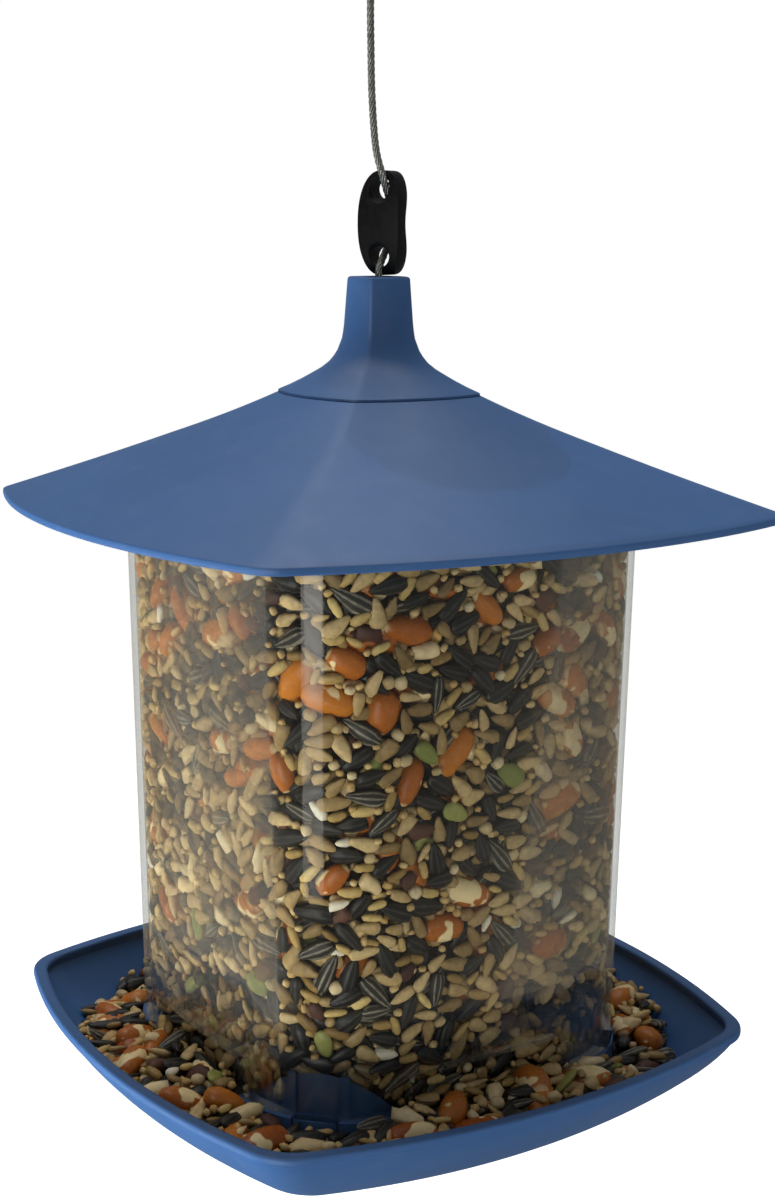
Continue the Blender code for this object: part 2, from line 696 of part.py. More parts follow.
def slider_arch(up):
    """How far the face bows out at a height from the slider's middle."""
    return SLIDER_ARCH * (1.0 - (2 * up / SLIDER_HEIGHT) ** 2)


def slider_knots():
    """Route up the slider's face, back through its lower hole and forward through its upper one."""
    thinnest = SLIDER_THICKNESS - SLIDER_WAIST
    back = slider_arch(0.0) - SLIDER_FACE - thinnest - CABLE_RADIUS - CABLE_PLAY
    turns = [(0.0, -SLIDER_HEIGHT / 2), (0.0, -SLIDER_HOLE_RISE - 0.9 * HOLE_LEAN),
             (0.45, -SLIDER_HOLE_RISE), (0.90, -SLIDER_HOLE_RISE + HOLE_LEAN), (1.0, 0.0),
             (0.90, SLIDER_HOLE_RISE - HOLE_LEAN), (0.45, SLIDER_HOLE_RISE),
             (-0.05, SLIDER_HOLE_RISE + 1.15 * HOLE_LEAN)]
    return [slider_point(back * part, up, CABLE_ASIDE * (up / SLIDER_HEIGHT + 0.5)) for part, up in turns]


def cable_knots():
    """Route of the free cable: out of the neck, through the slider's holes and up to the ferrule."""
    rise = [Vector(point) for point in CABLE_RISE]
    return slider_knots() + rise + [Vector((0.0, 0.0, TOP_FERRULE_Z - GAP))]


def slider_sides():
    """The slider's outline from one side, as points (out of the face, up): bowed face, waisted back."""
    points = []
    heights = [SLIDER_HEIGHT * (step / SLIDER_STEPS - 0.5) for step in range(SLIDER_STEPS + 1)]
    for up in reversed(heights):
        points.append((slider_arch(up), up))
    for up in heights:
        nearness = 1.0 - min(1.0, abs(up) / SLIDER_HOLE_RISE)
        waist = SLIDER_WAIST * (0.5 - 0.5 * math.cos(math.pi * nearness))
        points.append((slider_arch(up) - SLIDER_THICKNESS + waist, up))
    return points


def slider_front():
    """The slider's outline from the front: a tall oval with full shoulders."""
    steps = 40
    points = []
    for step in range(steps):
        angle = 2 * math.pi * (step + 0.5) / steps
        across, up = (math.copysign(abs(part) ** (2 / SLIDER_FULLNESS), part)
                      for part in (math.cos(angle), math.sin(angle)))
        points.append((across * SLIDER_WIDTH / 2, up * SLIDER_HEIGHT / 2))
    return points


def build_slider(parts, cutters, material):
    turn = math.radians(SLIDER_TURN)
    slider = bar("cable_slider", slider_sides(), SLIDER_WIDTH, parts, material)
    slider.location = slider_point(-SLIDER_FACE, 0.0)
    slider.rotation_euler = (0.0, 0.0, turn - math.pi / 2)
    front = bar("slider outline", slider_front(), 4 * SLIDER_THICKNESS, cutters)
    front.location = slider.location
    front.rotation_euler = (0.0, 0.0, turn)
    combine(slider, front, "INTERSECT")
    for side in (-1, 1):
        hole = cylinder(f"slider hole {side}", SLIDER_HOLE_RADIUS, -SLIDER_WIDTH, SLIDER_WIDTH, cutters,
                        segments=24)
        hole.location = slider_point(-SLIDER_FACE, side * SLIDER_HOLE_RISE)
        hole.rotation_euler = (math.pi / 2, 0.0, turn)
        combine(slider, hole, "DIFFERENCE")
    route = cable_knots()[:len(slider_knots()) + 1]
    groove = tube("cable groove", smooth_route(route, GROOVE_STEP), CABLE_RADIUS + CABLE_PLAY, cutters)
    combine(slider, groove, "DIFFERENCE")
    return slider


def loop_knots(foot):
    """Route of the hanging loop, from one leg in the ferrule round the hook to the other."""
    bend = HANG_HEIGHT + CABLE_RADIUS - LOOP_HALF_WIDTH
    side = [(-LOOP_LEG, 0.0, foot), (-1.3 * LOOP_LEG, 0.0, foot + LOOP_STEP),
            (-0.85 * LOOP_HALF_WIDTH, 0.0, lerp(foot, bend, 0.55))]
    steps = 6
    arc = []
    for step in range(steps + 1):
        angle = math.pi * (1 - step / steps)
        arc.append((LOOP_HALF_WIDTH * math.cos(angle), 0.0, bend + LOOP_HALF_WIDTH * math.sin(angle)))
    return side + arc + [(-x, y, z) for x, y, z in reversed(side)]


def build_cable(parts, cutters, steel, fitting):
    washer_top = -TRAY_DEPTH + POCKET_DEPTH - GAP
    washer_foot = washer_top - WASHER_THICKNESS
    washer = cylinder("anchor_washer", WASHER_RADIUS, washer_foot, washer_top, parts, segments=32,
                      material=fitting)
    eye = cylinder("washer eye", CABLE_RADIUS + CABLE_PLAY, washer_foot - WASHER_THICKNESS,
                   washer_top + WASHER_THICKNESS, cutters, segments=16)
    combine(washer, eye, "DIFFERENCE")
    stop_top = washer_foot - GAP
    cylinder("cable_stop", STOP_RADIUS, stop_top - STOP_LENGTH, stop_top, parts, segments=24,
             material=fitting)
    steps = 4
    held = [(0.0, 0.0, lerp(washer_foot, NECK_TOP_Z, step / steps)) for step in range(steps + 1)]
    tube("cable_held", held, CABLE_RADIUS, parts, steel)
    free = cable_knots()
    free[0] = Vector((0.0, 0.0, NECK_TOP_Z + GAP))
    tube("cable_free", smooth_route(free, CABLE_STEP), CABLE_RADIUS, parts, steel)
    ferrule_top = TOP_FERRULE_Z + FERRULE_LENGTH
    cylinder("top_ferrule", FERRULE_RADIUS, TOP_FERRULE_Z, ferrule_top, parts, segments=24,
             material=fitting)
    loop = smooth_route(loop_knots(ferrule_top + GAP), LOOP_STEP)
    tube("hanging_loop", loop, CABLE_RADIUS, parts, steel)


clear_scene()
PARTS = new_collection("bird_feeder")
CUTTERS = new_collection("cutters")
FEEDER = bpy.data.objects.new("feeder under its hook", None)
PARTS.objects.link(FEEDER)
FEEDER.location = (0.0, 0.0, -HANG_HEIGHT)

BLUE = make_material("navy_plastic", NAVY, 0.45)
CLEAR = make_material("clear_plastic", (0.94, 0.96, 0.95), 0.05, alpha=0.3, transmission=1.0)
BLACK = make_material("black_plastic", (0.012, 0.012, 0.013), 0.5)
STEEL = make_material("wire_rope", (0.42, 0.43, 0.38), 0.35, metallic=0.9)
FITTING = make_material("crimp_aluminium", (0.70, 0.70, 0.70), 0.35, metallic=1.0)
SEED = make_material("mixed_seed", SEED_TAN, 0.7)

build_roof(PARTS, BLUE)
build_collar(PARTS, BLUE)
build_cap(PARTS, BLUE)
build_hopper(PARTS, CUTTERS, CLEAR)
build_tray(PARTS, CUTTERS, BLUE)
build_cone(PARTS, BLUE)
build_hopper_seed(PARTS, CUTTERS, SEED)
build_tray_seed(PARTS, CUTTERS, SEED)
build_slider(PARTS, CUTTERS, BLACK)
build_cable(PARTS, CUTTERS, STEEL, FITTING)
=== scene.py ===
# %% [markdown]
# # A hanging bird feeder
#
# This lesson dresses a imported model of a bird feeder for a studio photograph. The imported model, the
# frame, already has every part at its real size and knows how the parts move. Here each part gets the
# surface that the real one has: moulded plastic, clear plastic, wire rope and a few thousand seeds.
#
# Lengths are in metres. The world origin is where the wire loop hangs on its hook, so the whole
# feeder has negative heights. Most sizes below are heights over the tray's rim, as a maker would
# measure them on the bench, and `RIM_Z` moves them under the hook.

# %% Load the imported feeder
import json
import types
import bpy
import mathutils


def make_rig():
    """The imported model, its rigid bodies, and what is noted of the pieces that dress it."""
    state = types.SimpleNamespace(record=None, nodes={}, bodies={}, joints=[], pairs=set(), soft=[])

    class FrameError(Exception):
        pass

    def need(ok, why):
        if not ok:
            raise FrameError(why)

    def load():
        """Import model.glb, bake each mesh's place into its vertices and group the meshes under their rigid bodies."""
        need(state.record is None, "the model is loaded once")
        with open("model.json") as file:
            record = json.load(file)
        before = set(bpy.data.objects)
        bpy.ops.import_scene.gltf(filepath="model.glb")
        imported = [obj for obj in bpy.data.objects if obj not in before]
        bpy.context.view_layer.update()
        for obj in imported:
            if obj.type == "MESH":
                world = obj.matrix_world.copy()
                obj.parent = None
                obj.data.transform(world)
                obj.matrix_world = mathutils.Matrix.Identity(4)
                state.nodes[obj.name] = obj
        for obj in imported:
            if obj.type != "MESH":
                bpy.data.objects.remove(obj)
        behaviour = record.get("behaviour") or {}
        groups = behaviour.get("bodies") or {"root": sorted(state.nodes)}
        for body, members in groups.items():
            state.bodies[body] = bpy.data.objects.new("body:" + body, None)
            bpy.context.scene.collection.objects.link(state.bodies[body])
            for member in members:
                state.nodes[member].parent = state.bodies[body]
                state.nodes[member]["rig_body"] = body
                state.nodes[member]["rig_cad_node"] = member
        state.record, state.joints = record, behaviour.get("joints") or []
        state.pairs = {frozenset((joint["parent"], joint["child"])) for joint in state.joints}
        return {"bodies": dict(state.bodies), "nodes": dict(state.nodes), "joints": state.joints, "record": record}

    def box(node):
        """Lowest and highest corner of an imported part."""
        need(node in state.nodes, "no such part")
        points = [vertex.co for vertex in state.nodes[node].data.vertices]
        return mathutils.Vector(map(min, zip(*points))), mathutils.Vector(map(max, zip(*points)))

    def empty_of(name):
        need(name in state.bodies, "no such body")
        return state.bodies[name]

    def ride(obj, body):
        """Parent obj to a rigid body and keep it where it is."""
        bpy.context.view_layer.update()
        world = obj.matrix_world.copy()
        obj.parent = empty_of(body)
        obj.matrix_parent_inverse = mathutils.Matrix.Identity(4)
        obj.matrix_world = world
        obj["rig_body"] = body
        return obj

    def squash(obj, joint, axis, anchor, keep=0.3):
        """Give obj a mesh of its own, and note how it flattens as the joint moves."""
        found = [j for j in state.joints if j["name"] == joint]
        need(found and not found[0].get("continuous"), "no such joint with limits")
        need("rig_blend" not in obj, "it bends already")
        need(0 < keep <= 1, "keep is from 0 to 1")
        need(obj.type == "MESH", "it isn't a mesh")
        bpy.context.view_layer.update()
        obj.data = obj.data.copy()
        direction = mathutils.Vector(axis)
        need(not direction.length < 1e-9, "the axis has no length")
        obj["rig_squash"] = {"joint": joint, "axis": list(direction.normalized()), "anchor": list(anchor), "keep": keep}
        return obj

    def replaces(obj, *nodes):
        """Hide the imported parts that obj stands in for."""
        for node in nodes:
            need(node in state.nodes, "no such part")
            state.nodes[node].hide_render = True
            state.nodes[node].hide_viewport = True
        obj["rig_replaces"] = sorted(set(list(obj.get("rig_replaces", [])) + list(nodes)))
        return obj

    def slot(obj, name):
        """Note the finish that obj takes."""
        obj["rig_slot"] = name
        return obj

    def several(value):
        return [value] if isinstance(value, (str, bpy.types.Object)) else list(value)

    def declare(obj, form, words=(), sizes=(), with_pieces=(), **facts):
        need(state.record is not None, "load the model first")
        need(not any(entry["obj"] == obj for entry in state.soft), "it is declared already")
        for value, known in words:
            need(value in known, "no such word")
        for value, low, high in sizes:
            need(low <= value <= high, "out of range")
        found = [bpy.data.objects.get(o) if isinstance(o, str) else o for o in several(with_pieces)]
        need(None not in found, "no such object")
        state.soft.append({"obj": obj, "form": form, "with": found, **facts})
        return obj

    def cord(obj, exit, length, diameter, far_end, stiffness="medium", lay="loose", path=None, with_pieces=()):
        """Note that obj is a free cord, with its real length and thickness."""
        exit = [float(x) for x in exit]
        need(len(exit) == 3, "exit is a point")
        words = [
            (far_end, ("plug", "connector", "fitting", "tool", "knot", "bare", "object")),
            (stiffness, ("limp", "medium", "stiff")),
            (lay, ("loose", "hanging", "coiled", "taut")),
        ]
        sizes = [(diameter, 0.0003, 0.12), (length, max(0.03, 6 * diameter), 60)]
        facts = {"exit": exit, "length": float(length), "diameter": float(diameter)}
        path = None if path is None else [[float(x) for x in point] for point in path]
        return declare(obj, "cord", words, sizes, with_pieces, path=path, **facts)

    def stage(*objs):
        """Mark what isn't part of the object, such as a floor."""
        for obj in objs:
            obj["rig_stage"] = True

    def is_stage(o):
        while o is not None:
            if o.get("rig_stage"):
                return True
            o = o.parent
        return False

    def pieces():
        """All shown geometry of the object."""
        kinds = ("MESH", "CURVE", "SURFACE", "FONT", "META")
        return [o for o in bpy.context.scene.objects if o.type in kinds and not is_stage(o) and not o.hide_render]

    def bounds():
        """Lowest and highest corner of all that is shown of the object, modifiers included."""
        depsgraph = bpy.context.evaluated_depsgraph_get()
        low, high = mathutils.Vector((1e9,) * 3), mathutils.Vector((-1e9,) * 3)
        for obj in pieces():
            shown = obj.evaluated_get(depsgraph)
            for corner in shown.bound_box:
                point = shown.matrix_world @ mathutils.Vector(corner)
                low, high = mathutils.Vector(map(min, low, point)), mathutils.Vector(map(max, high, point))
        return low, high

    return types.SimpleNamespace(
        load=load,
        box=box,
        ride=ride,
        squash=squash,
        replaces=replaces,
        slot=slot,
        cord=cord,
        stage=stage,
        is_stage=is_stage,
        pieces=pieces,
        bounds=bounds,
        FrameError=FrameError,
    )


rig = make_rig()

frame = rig.load()

import json
import math

import bmesh
import bpy
import numpy as np
from mathutils import Matrix, Vector

scene = bpy.context.scene
packed_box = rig.bounds()
RIM_Z = -0.4200
TRAVEL = {joint["name"]: joint["range_m"][1] for joint in frame["joints"]}
print("bodies", sorted(frame["bodies"]), "travel", TRAVEL)

# %% [markdown]
# ## The camera
#
# The photograph looks at one corner of the feeder from a little above the tray. A camera is easier to
# reason about as a walk round the object: an azimuth, a distance, a height and a slight tilt down.
# The shift moves the frame up and down without tilting further, as a studio camera's lens board does.

# %% Camera
CAMERA_AZIMUTH = math.radians(-32.07)
CAMERA_DISTANCE = 0.6296
CAMERA_HEIGHT = -0.1624
CAMERA_PITCH = math.radians(7.32)
CAMERA_ROLL = math.radians(0.31)

camera_data = bpy.data.cameras.new("studio camera")
camera_data.sensor_width = 36.0
camera_data.lens = 58.5
camera_data.shift_x = 0.0082
camera_data.shift_y = -0.1070
camera = bpy.data.objects.new("studio camera", camera_data)
scene.collection.objects.link(camera)
scene.camera = camera
stand = Vector((math.sin(CAMERA_AZIMUTH), -math.cos(CAMERA_AZIMUTH), 0.0)) * CAMERA_DISTANCE
stand.z = CAMERA_HEIGHT
camera.matrix_world = (Matrix.Translation(stand) @ Matrix.Rotation(CAMERA_AZIMUTH, 4, "Z")
                       @ Matrix.Rotation(math.pi / 2 - CAMERA_PITCH, 4, "X")
                       @ Matrix.Rotation(CAMERA_ROLL, 4, "Z"))
print("camera at", [round(value, 3) for value in camera.location])

# %% [markdown]
# ## Skins and tubes
#
# Two helpers make almost every surface here. `skin` joins rings of equal length into one closed
# surface, which is how a moulded shell is drawn: its section, ring by ring. `new_piece` wraps a mesh
# in an object and shades it smooth, but keeps an edge where two faces meet at a real corner.

# %% Mesh helpers
SHARP = math.radians(34.0)


def new_piece(name, mesh, sharp=SHARP):
    piece = bpy.data.objects.new(name, mesh)
    scene.collection.objects.link(piece)
    mesh.shade_smooth()
    mesh.set_sharp_from_angle(angle=sharp)
    return piece


def mesh_of(name, points, faces):
    mesh = bpy.data.meshes.new(name)
    mesh.from_pydata([tuple(point) for point in points], [], faces)
    shape = bmesh.new()
    shape.from_mesh(mesh)
    bmesh.ops.recalc_face_normals(shape, faces=shape.faces)
    shape.to_mesh(mesh)
    shape.free()
    return mesh


def skin(name, rings, closed=True, sharp=SHARP):
    """A surface through rings of equal length: closed like a tyre, or capped at both ends."""
    count = len(rings[0])
    faces = []
    pairs = len(rings) if closed else len(rings) - 1
    for row in range(pairs):
        low, high = row * count, (row + 1) % len(rings) * count
        for index in range(count):
            after = (index + 1) % count
            faces.append((low + index, low + after, high + after, high + index))
    if not closed:
        faces.append(tuple(range(count)))
        faces.append(tuple(range((len(rings) - 1) * count, len(rings) * count)))
    return new_piece(name, mesh_of(name, np.concatenate(rings), faces), sharp)


# %% [markdown]
# ## The wire rope
#
# A rope is a real cord, so it comes first. It runs from a crimped stop under the tray, up through
# the feeder, out of the neck, in and out of the stopper's two holes, and up to the ferrule and the
# loop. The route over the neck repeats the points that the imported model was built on: `turns` holds
# how far behind the stopper's face the rope is, as a share, and how high.
#
# A plain tube would look like a rod. Real wire rope is a lay of strands, so each stretch here is six
# strand tubes that turn round the route. Where the feeder can move along its rope, the rope is cut
# into stretches: one goes up with the stopper, and three above it fold up as the three joints rise.

# %% Route of the rope
PIECE_GAP = 0.0003
ROPE_RADIUS = 0.0012
ROPE_PLAY = 0.0004
ROPE_STEP = 0.0009
STOPPER_HEIGHT = 0.0335
STOPPER_THICKNESS = 0.0068
STOPPER_ARCH = 0.0030
STOPPER_WAIST = 0.0014
STOPPER_TURN = math.radians(-60.0)
STOPPER_FACE = 0.0020
HOLE_RISE = 0.0108
HOLE_LEAN = 0.0040
ROPE_ASIDE = 0.0013
ROPE_RISE = ((-0.0010, 0.0006, 0.2810), (-0.0020, 0.0013, 0.2960), (-0.0024, 0.0015, 0.3110),
             (-0.0025, 0.0016, 0.3300), (-0.0014, 0.0009, 0.3500))
NECK_TOP = 0.2400 + RIM_Z
FERRULE_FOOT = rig.box("top_ferrule")[0].z
FERRULE_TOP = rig.box("top_ferrule")[1].z
STOPPER_MIDDLE = NECK_TOP + PIECE_GAP + STOPPER_HEIGHT / 2
OUT = Vector((math.sin(STOPPER_TURN), -math.cos(STOPPER_TURN), 0.0))
ACROSS = Vector((math.cos(STOPPER_TURN), math.sin(STOPPER_TURN), 0.0))


def on_stopper(out, up, aside=0.0):
    """A point by the stopper: out of its face, up from its middle, and aside along its width."""
    return OUT * out + ACROSS * aside + Vector((0.0, 0.0, STOPPER_MIDDLE + up))


def smooth_route(knots, step):
    """Points about one step apart on a smooth curve through the knots."""
    knots = [Vector(knot) for knot in knots]
    ends = [2 * knots[0] - knots[1]] + knots + [2 * knots[-1] - knots[-2]]
    points = []
    for before, start, stop, after in zip(ends, ends[1:], ends[2:], ends[3:]):
        count = max(1, round((stop - start).length / step))
        for index in range(count):
            part = index / count
            points.append(0.5 * (2 * start + (stop - before) * part
                                 + (2 * before - 5 * start + 4 * stop - after) * part ** 2
                                 + (3 * start - before - 3 * stop + after) * part ** 3))
    points.append(knots[-1])
    return points


behind = STOPPER_ARCH - STOPPER_FACE - STOPPER_THICKNESS + STOPPER_WAIST - ROPE_RADIUS - ROPE_PLAY
turns = [(0.0, -HOLE_RISE - 0.9 * HOLE_LEAN), (0.45, -HOLE_RISE), (0.90, -HOLE_RISE + HOLE_LEAN),
         (1.0, 0.0), (0.90, HOLE_RISE - HOLE_LEAN), (0.45, HOLE_RISE),
         (-0.05, HOLE_RISE + 1.15 * HOLE_LEAN)]
knots = [Vector((0.0, 0.0, NECK_TOP))]
knots += [on_stopper(behind * part, up, ROPE_ASIDE * (up / STOPPER_HEIGHT + 0.5)) for part, up in turns]
knots += [Vector((x, y, z + RIM_Z)) for x, y, z in ROPE_RISE]
knots.append(Vector((0.0, 0.0, FERRULE_FOOT)))
rope_line = np.array([tuple(point) for point in smooth_route(knots, ROPE_STEP)])
rope_line = np.concatenate([[(0.0, 0.0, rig.box("cable_held")[0].z)], rope_line])
rope_along = np.concatenate([[0.0], np.cumsum(np.linalg.norm(np.diff(rope_line, axis=0), axis=1))])
print("rope from stop to ferrule", round(rope_along[-1], 4), "m")

# %% [markdown]
# A strand is a thin tube whose middle goes round the rope's own middle once in each lay. `strands`
# carries a frame of two directions along the route without letting it spin, and turns the six
# strands in that frame by the distance along the rope, so that the lay runs on from stretch to
# stretch.

# %% Strands
STRANDS = 6
STRAND_RADIUS = 0.00044
STRAND_SIDES = 7
STRAND_SHARP = math.radians(60.0)
LAY = 0.0125


def strands(name, line, start=0.0):
    """Six strands wound round a line. start is the distance along the rope where it begins."""
    line = np.asarray(line, float)
    along = start + np.concatenate([[0.0], np.cumsum(np.linalg.norm(np.diff(line, axis=0), axis=1))])
    ahead = np.gradient(line, axis=0)
    ahead /= np.linalg.norm(ahead, axis=1)[:, None]
    side = np.zeros_like(line)
    side[0] = np.cross(ahead[0], (0.0, 1.0, 0.0))
    for index in range(1, len(line)):
        side[index] = side[index - 1] - ahead[index] * (side[index - 1] @ ahead[index])
    side /= np.linalg.norm(side, axis=1)[:, None]
    third = np.cross(ahead, side)
    points, faces = [], []
    middle = ROPE_RADIUS - STRAND_RADIUS
    for strand in range(STRANDS):
        angle = 2 * math.pi * (along / LAY + strand / STRANDS)
        centre = line + middle * (np.cos(angle)[:, None] * side + np.sin(angle)[:, None] * third)
        base = len(points) * len(line)
        for step in range(STRAND_SIDES):
            turn = angle + 2 * math.pi * step / STRAND_SIDES
            points.append(centre + STRAND_RADIUS * (np.cos(turn)[:, None] * side
                                                    + np.sin(turn)[:, None] * third))
        for step in range(STRAND_SIDES):
            here = base + step * len(line)
            after = base + (step + 1) % STRAND_SIDES * len(line)
            for index in range(len(line) - 1):
                faces.append((here + index, after + index, after + index + 1, here + index + 1))
        last = len(line) - 1
        faces.append(tuple(base + step * len(line) for step in range(STRAND_SIDES)))
        faces.append(tuple(base + step * len(line) + last for step in range(STRAND_SIDES)))
    return new_piece(name, mesh_of(name, np.concatenate(points), faces), STRAND_SHARP)


def stretch(name, low, high, step=ROPE_STEP):
    """The rope between two distances along it, and the line that it follows."""
    count = max(2, round((high - low) / step))
    at = np.linspace(low, high, count + 1)
    line = np.stack([np.interp(at, rope_along, rope_line[:, axis]) for axis in range(3)], axis=1)
    return strands(name, line, low), line


def along_at(height):
    """Distance along the rope where it passes a height above the neck."""
    above = np.nonzero(rope_line[:, 2] >= height)[0][0]
    share = (height - rope_line[above - 1, 2]) / (rope_line[above, 2] - rope_line[above - 1, 2])
    return rope_along[above - 1] + share * (rope_along[above] - rope_along[above - 1])


# %% [markdown]
# The rope under the neck hangs from the ferrule like the rest of it and never moves, so it rides with
# the tray. A spare stretch rides with the stopper and lies in the same place at rest. It comes up out
# of the feeder when the roof is lifted, so that the rope never ends under the stopper.

# %% Rope pieces
SPARE = sum(TRAVEL.values())
neck_at = along_at(NECK_TOP)
HIDDEN_STEP = 0.0020
SPARE_STEP = 0.0015
FOLDED = 0.0003
cuts = [NECK_TOP + PIECE_GAP + STOPPER_HEIGHT]
for joint in ("stopper_slide", "roof_lift", "hopper_unclip"):
    cuts.append(cuts[-1] + TRAVEL[joint] + FOLDED)
cuts[-1] = FERRULE_FOOT

rope_held = stretch("rope_held", 0.0, neck_at, HIDDEN_STEP)[0]
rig.ride(rope_held, "hanger_and_tray")
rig.replaces(rope_held, "cable_held")
rope_spare = stretch("rope_spare", neck_at - SPARE, neck_at, SPARE_STEP)[0]
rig.ride(rope_spare, "stopper")
rope_knotted, knotted_line = stretch("rope_in_stopper", neck_at, along_at(cuts[0]))
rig.ride(rope_knotted, "stopper")
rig.replaces(rope_knotted, "cable_free")
folding = []
for low, high, body, joint in ((0, 1, "roof", "stopper_slide"), (1, 2, "hopper", "roof_lift"),
                               (2, 3, "hanger_and_tray", "hopper_unclip")):
    piece, line = stretch("rope_over_" + joint, along_at(cuts[low]), along_at(cuts[high]) - 1e-6)
    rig.ride(piece, body)
    length = cuts[high] - cuts[low]
    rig.squash(piece, joint, axis=(0, 0, 1), anchor=(0, 0, cuts[high]), keep=1 - TRAVEL[joint] / length)
    folding.append((piece, line))
print("stretches over the stopper", [round(high - low, 4) for low, high in zip(cuts, cuts[1:])])

# %% [markdown]
# The loop over the hook is the same rope, bent back into its ferrule. It is a closed eye, and its
# legs pinch together where the ferrule grips them.

# %% Hanging loop
LOOP_HALF_WIDTH = 0.0080
LOOP_LEG = 0.0014
LOOP_PINCH = 0.0030
bend = ROPE_RADIUS - LOOP_HALF_WIDTH
leg = [(-LOOP_LEG, 0.0, FERRULE_TOP), (-1.3 * LOOP_LEG, 0.0, FERRULE_TOP + LOOP_PINCH),
       (-0.85 * LOOP_HALF_WIDTH, 0.0, FERRULE_TOP + (bend - FERRULE_TOP) * 0.55)]
arc = [(LOOP_HALF_WIDTH * math.cos(angle), 0.0, bend + LOOP_HALF_WIDTH * math.sin(angle))
       for angle in np.linspace(math.pi, 0.0, 7)]
loop_knots = leg + arc + [(-x, y, z) for x, y, z in reversed(leg)]
loop_line = [tuple(point) for point in smooth_route(loop_knots, ROPE_STEP)]
hanging_loop = strands("rope_loop", loop_line)
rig.ride(hanging_loop, "hanger_and_tray")
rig.replaces(hanging_loop, "hanging_loop")


def length_of(line):
    """The length along a line of points."""
    return float(np.linalg.norm(np.diff(np.asarray(line), axis=0), axis=1).sum())


over_stopper, over_line = folding[1]
ROPE = {"diameter": 2 * ROPE_RADIUS, "stiffness": "stiff", "lay": "taut"}
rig.cord(rope_knotted, exit=knotted_line[0], length=length_of(knotted_line), far_end="object",
        path=knotted_line, with_pieces=[folding[0][0]], **ROPE)
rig.cord(over_stopper, exit=over_line[0], length=length_of(over_line), far_end="fitting",
        path=over_line, with_pieces=[folding[2][0], frame["nodes"]["top_ferrule"]], **ROPE)
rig.cord(hanging_loop, exit=loop_line[0], length=length_of(loop_line), far_end="object",
        path=loop_line, **ROPE)
ropes = [rope_held, rope_spare, rope_knotted, hanging_loop] + [piece for piece, _ in folding]
for piece in ropes:
    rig.slot(piece, "wire_rope")
print("rope in the stopper", round(length_of(knotted_line), 4), "m, loop", round(length_of(loop_line), 4))

# %% [markdown]
# ## Plans and sections
#
# Roof, hopper and tray are all the same idea: a square with bowed sides and round corners, swept up
# or down a section. The plan could be drawn by hand as a curve, but two numbers describe it, and the
# same two numbers tell how far a seed is from the wall. The bow is the radius of a side and the
# corner is the radius of a corner, both for each unit of half width.

# %% Plan rings
SIDE_STEPS = 12
CORNER_STEPS = 10


def corner_centre(half, bow, corner):
    """Distance of a corner arc's centre from both axes."""
    shift = (bow - 1) * half
    reach = (bow - corner) * half
    return (-shift + np.sqrt(2 * reach ** 2 - shift ** 2)) / 2


def bowed_square(half, bow, corner):
    """One turn round the plan, from the middle of the +X side, anticlockwise, as an (n, 2) array."""
    centre = corner_centre(half, bow, corner)
    radius = bow * half
    tangent = math.atan2(centre, centre - (half - radius))
    side = tangent * np.arange(SIDE_STEPS + 1) / SIDE_STEPS
    round_part = tangent + (math.pi / 2 - 2 * tangent) * np.arange(1, CORNER_STEPS + 1) / CORNER_STEPS
    back = math.pi / 2 - tangent + tangent * np.arange(1, SIDE_STEPS) / SIDE_STEPS
    quarter = np.concatenate([
        np.stack([half - radius + radius * np.cos(side), radius * np.sin(side)], axis=1),
        centre + corner * half * np.stack([np.cos(round_part), np.sin(round_part)], axis=1),
        np.stack([radius * np.cos(back), half - radius + radius * np.sin(back)], axis=1)])
    turns = [quarter]
    for _ in range(3):
        x, y = turns[-1].T
        turns.append(np.stack([-y, x], axis=1))
    return np.concatenate(turns)


def plan_ring(half, height, bow, corner):
    """The plan at a height over the tray's rim, in the world's frame."""
    plan = bowed_square(half, bow, corner)
    return np.column_stack([plan, np.full(len(plan), height + RIM_Z)])


def round_ring(radius, height):
    angle = np.linspace(0.0, 2 * math.pi, 4 * (2 * SIDE_STEPS + CORNER_STEPS), endpoint=False)
    return np.stack([radius * np.cos(angle), radius * np.sin(angle),
                     np.full(len(angle), height + RIM_Z)], axis=1)


def plan_distance(x, y, half, bow, corner):
    """How far points lie outside a bowed square, below zero when they are inside."""
    far, near = np.maximum(abs(x), abs(y)), np.minimum(abs(x), abs(y))
    centre = corner_centre(half, bow, corner)
    back = (bow - 1) * half
    beyond_side = np.hypot(far + back, near) - bow * half
    beyond_corner = np.hypot(far - centre, near - centre) - corner * half
    in_corner = near * (centre + back) > centre * (far + back)
    return np.where(in_corner, beyond_corner, beyond_side)


# %% [markdown]
# A moulded edge is never sharp: the tool that cuts the mould is round, and so are its edges. `fillet`
# walks along a section and turns each named corner into a short curve, so the radius sits beside the
# corner that it belongs to.

# %% Rounded sections
FILLET_STEPS = 4
FILLET_SHARE = 0.48


def fillet(corners):
    """A closed section through corners (half width, height, radius), with each corner rounded."""
    section = []
    for index, (half, height, radius) in enumerate(corners):
        here = Vector((half, height))
        if not radius:
            section.append(tuple(here))
            continue
        back = Vector(corners[index - 1][:2]) - here
        ahead = Vector(corners[(index + 1) % len(corners)][:2]) - here
        reach = radius / math.tan(back.angle(ahead) / 2)
        start = here + back.normalized() * min(reach, FILLET_SHARE * back.length)
        stop = here + ahead.normalized() * min(reach, FILLET_SHARE * ahead.length)
        for part in np.linspace(0.0, 1.0, FILLET_STEPS + 1):
            section.append(tuple((1 - part) ** 2 * start + 2 * part * (1 - part) * here
                                 + part ** 2 * stop))
    return section


def straight(points):
    """Points of a section that stay as they are."""
    return [(half, height, 0.0) for half, height in points]


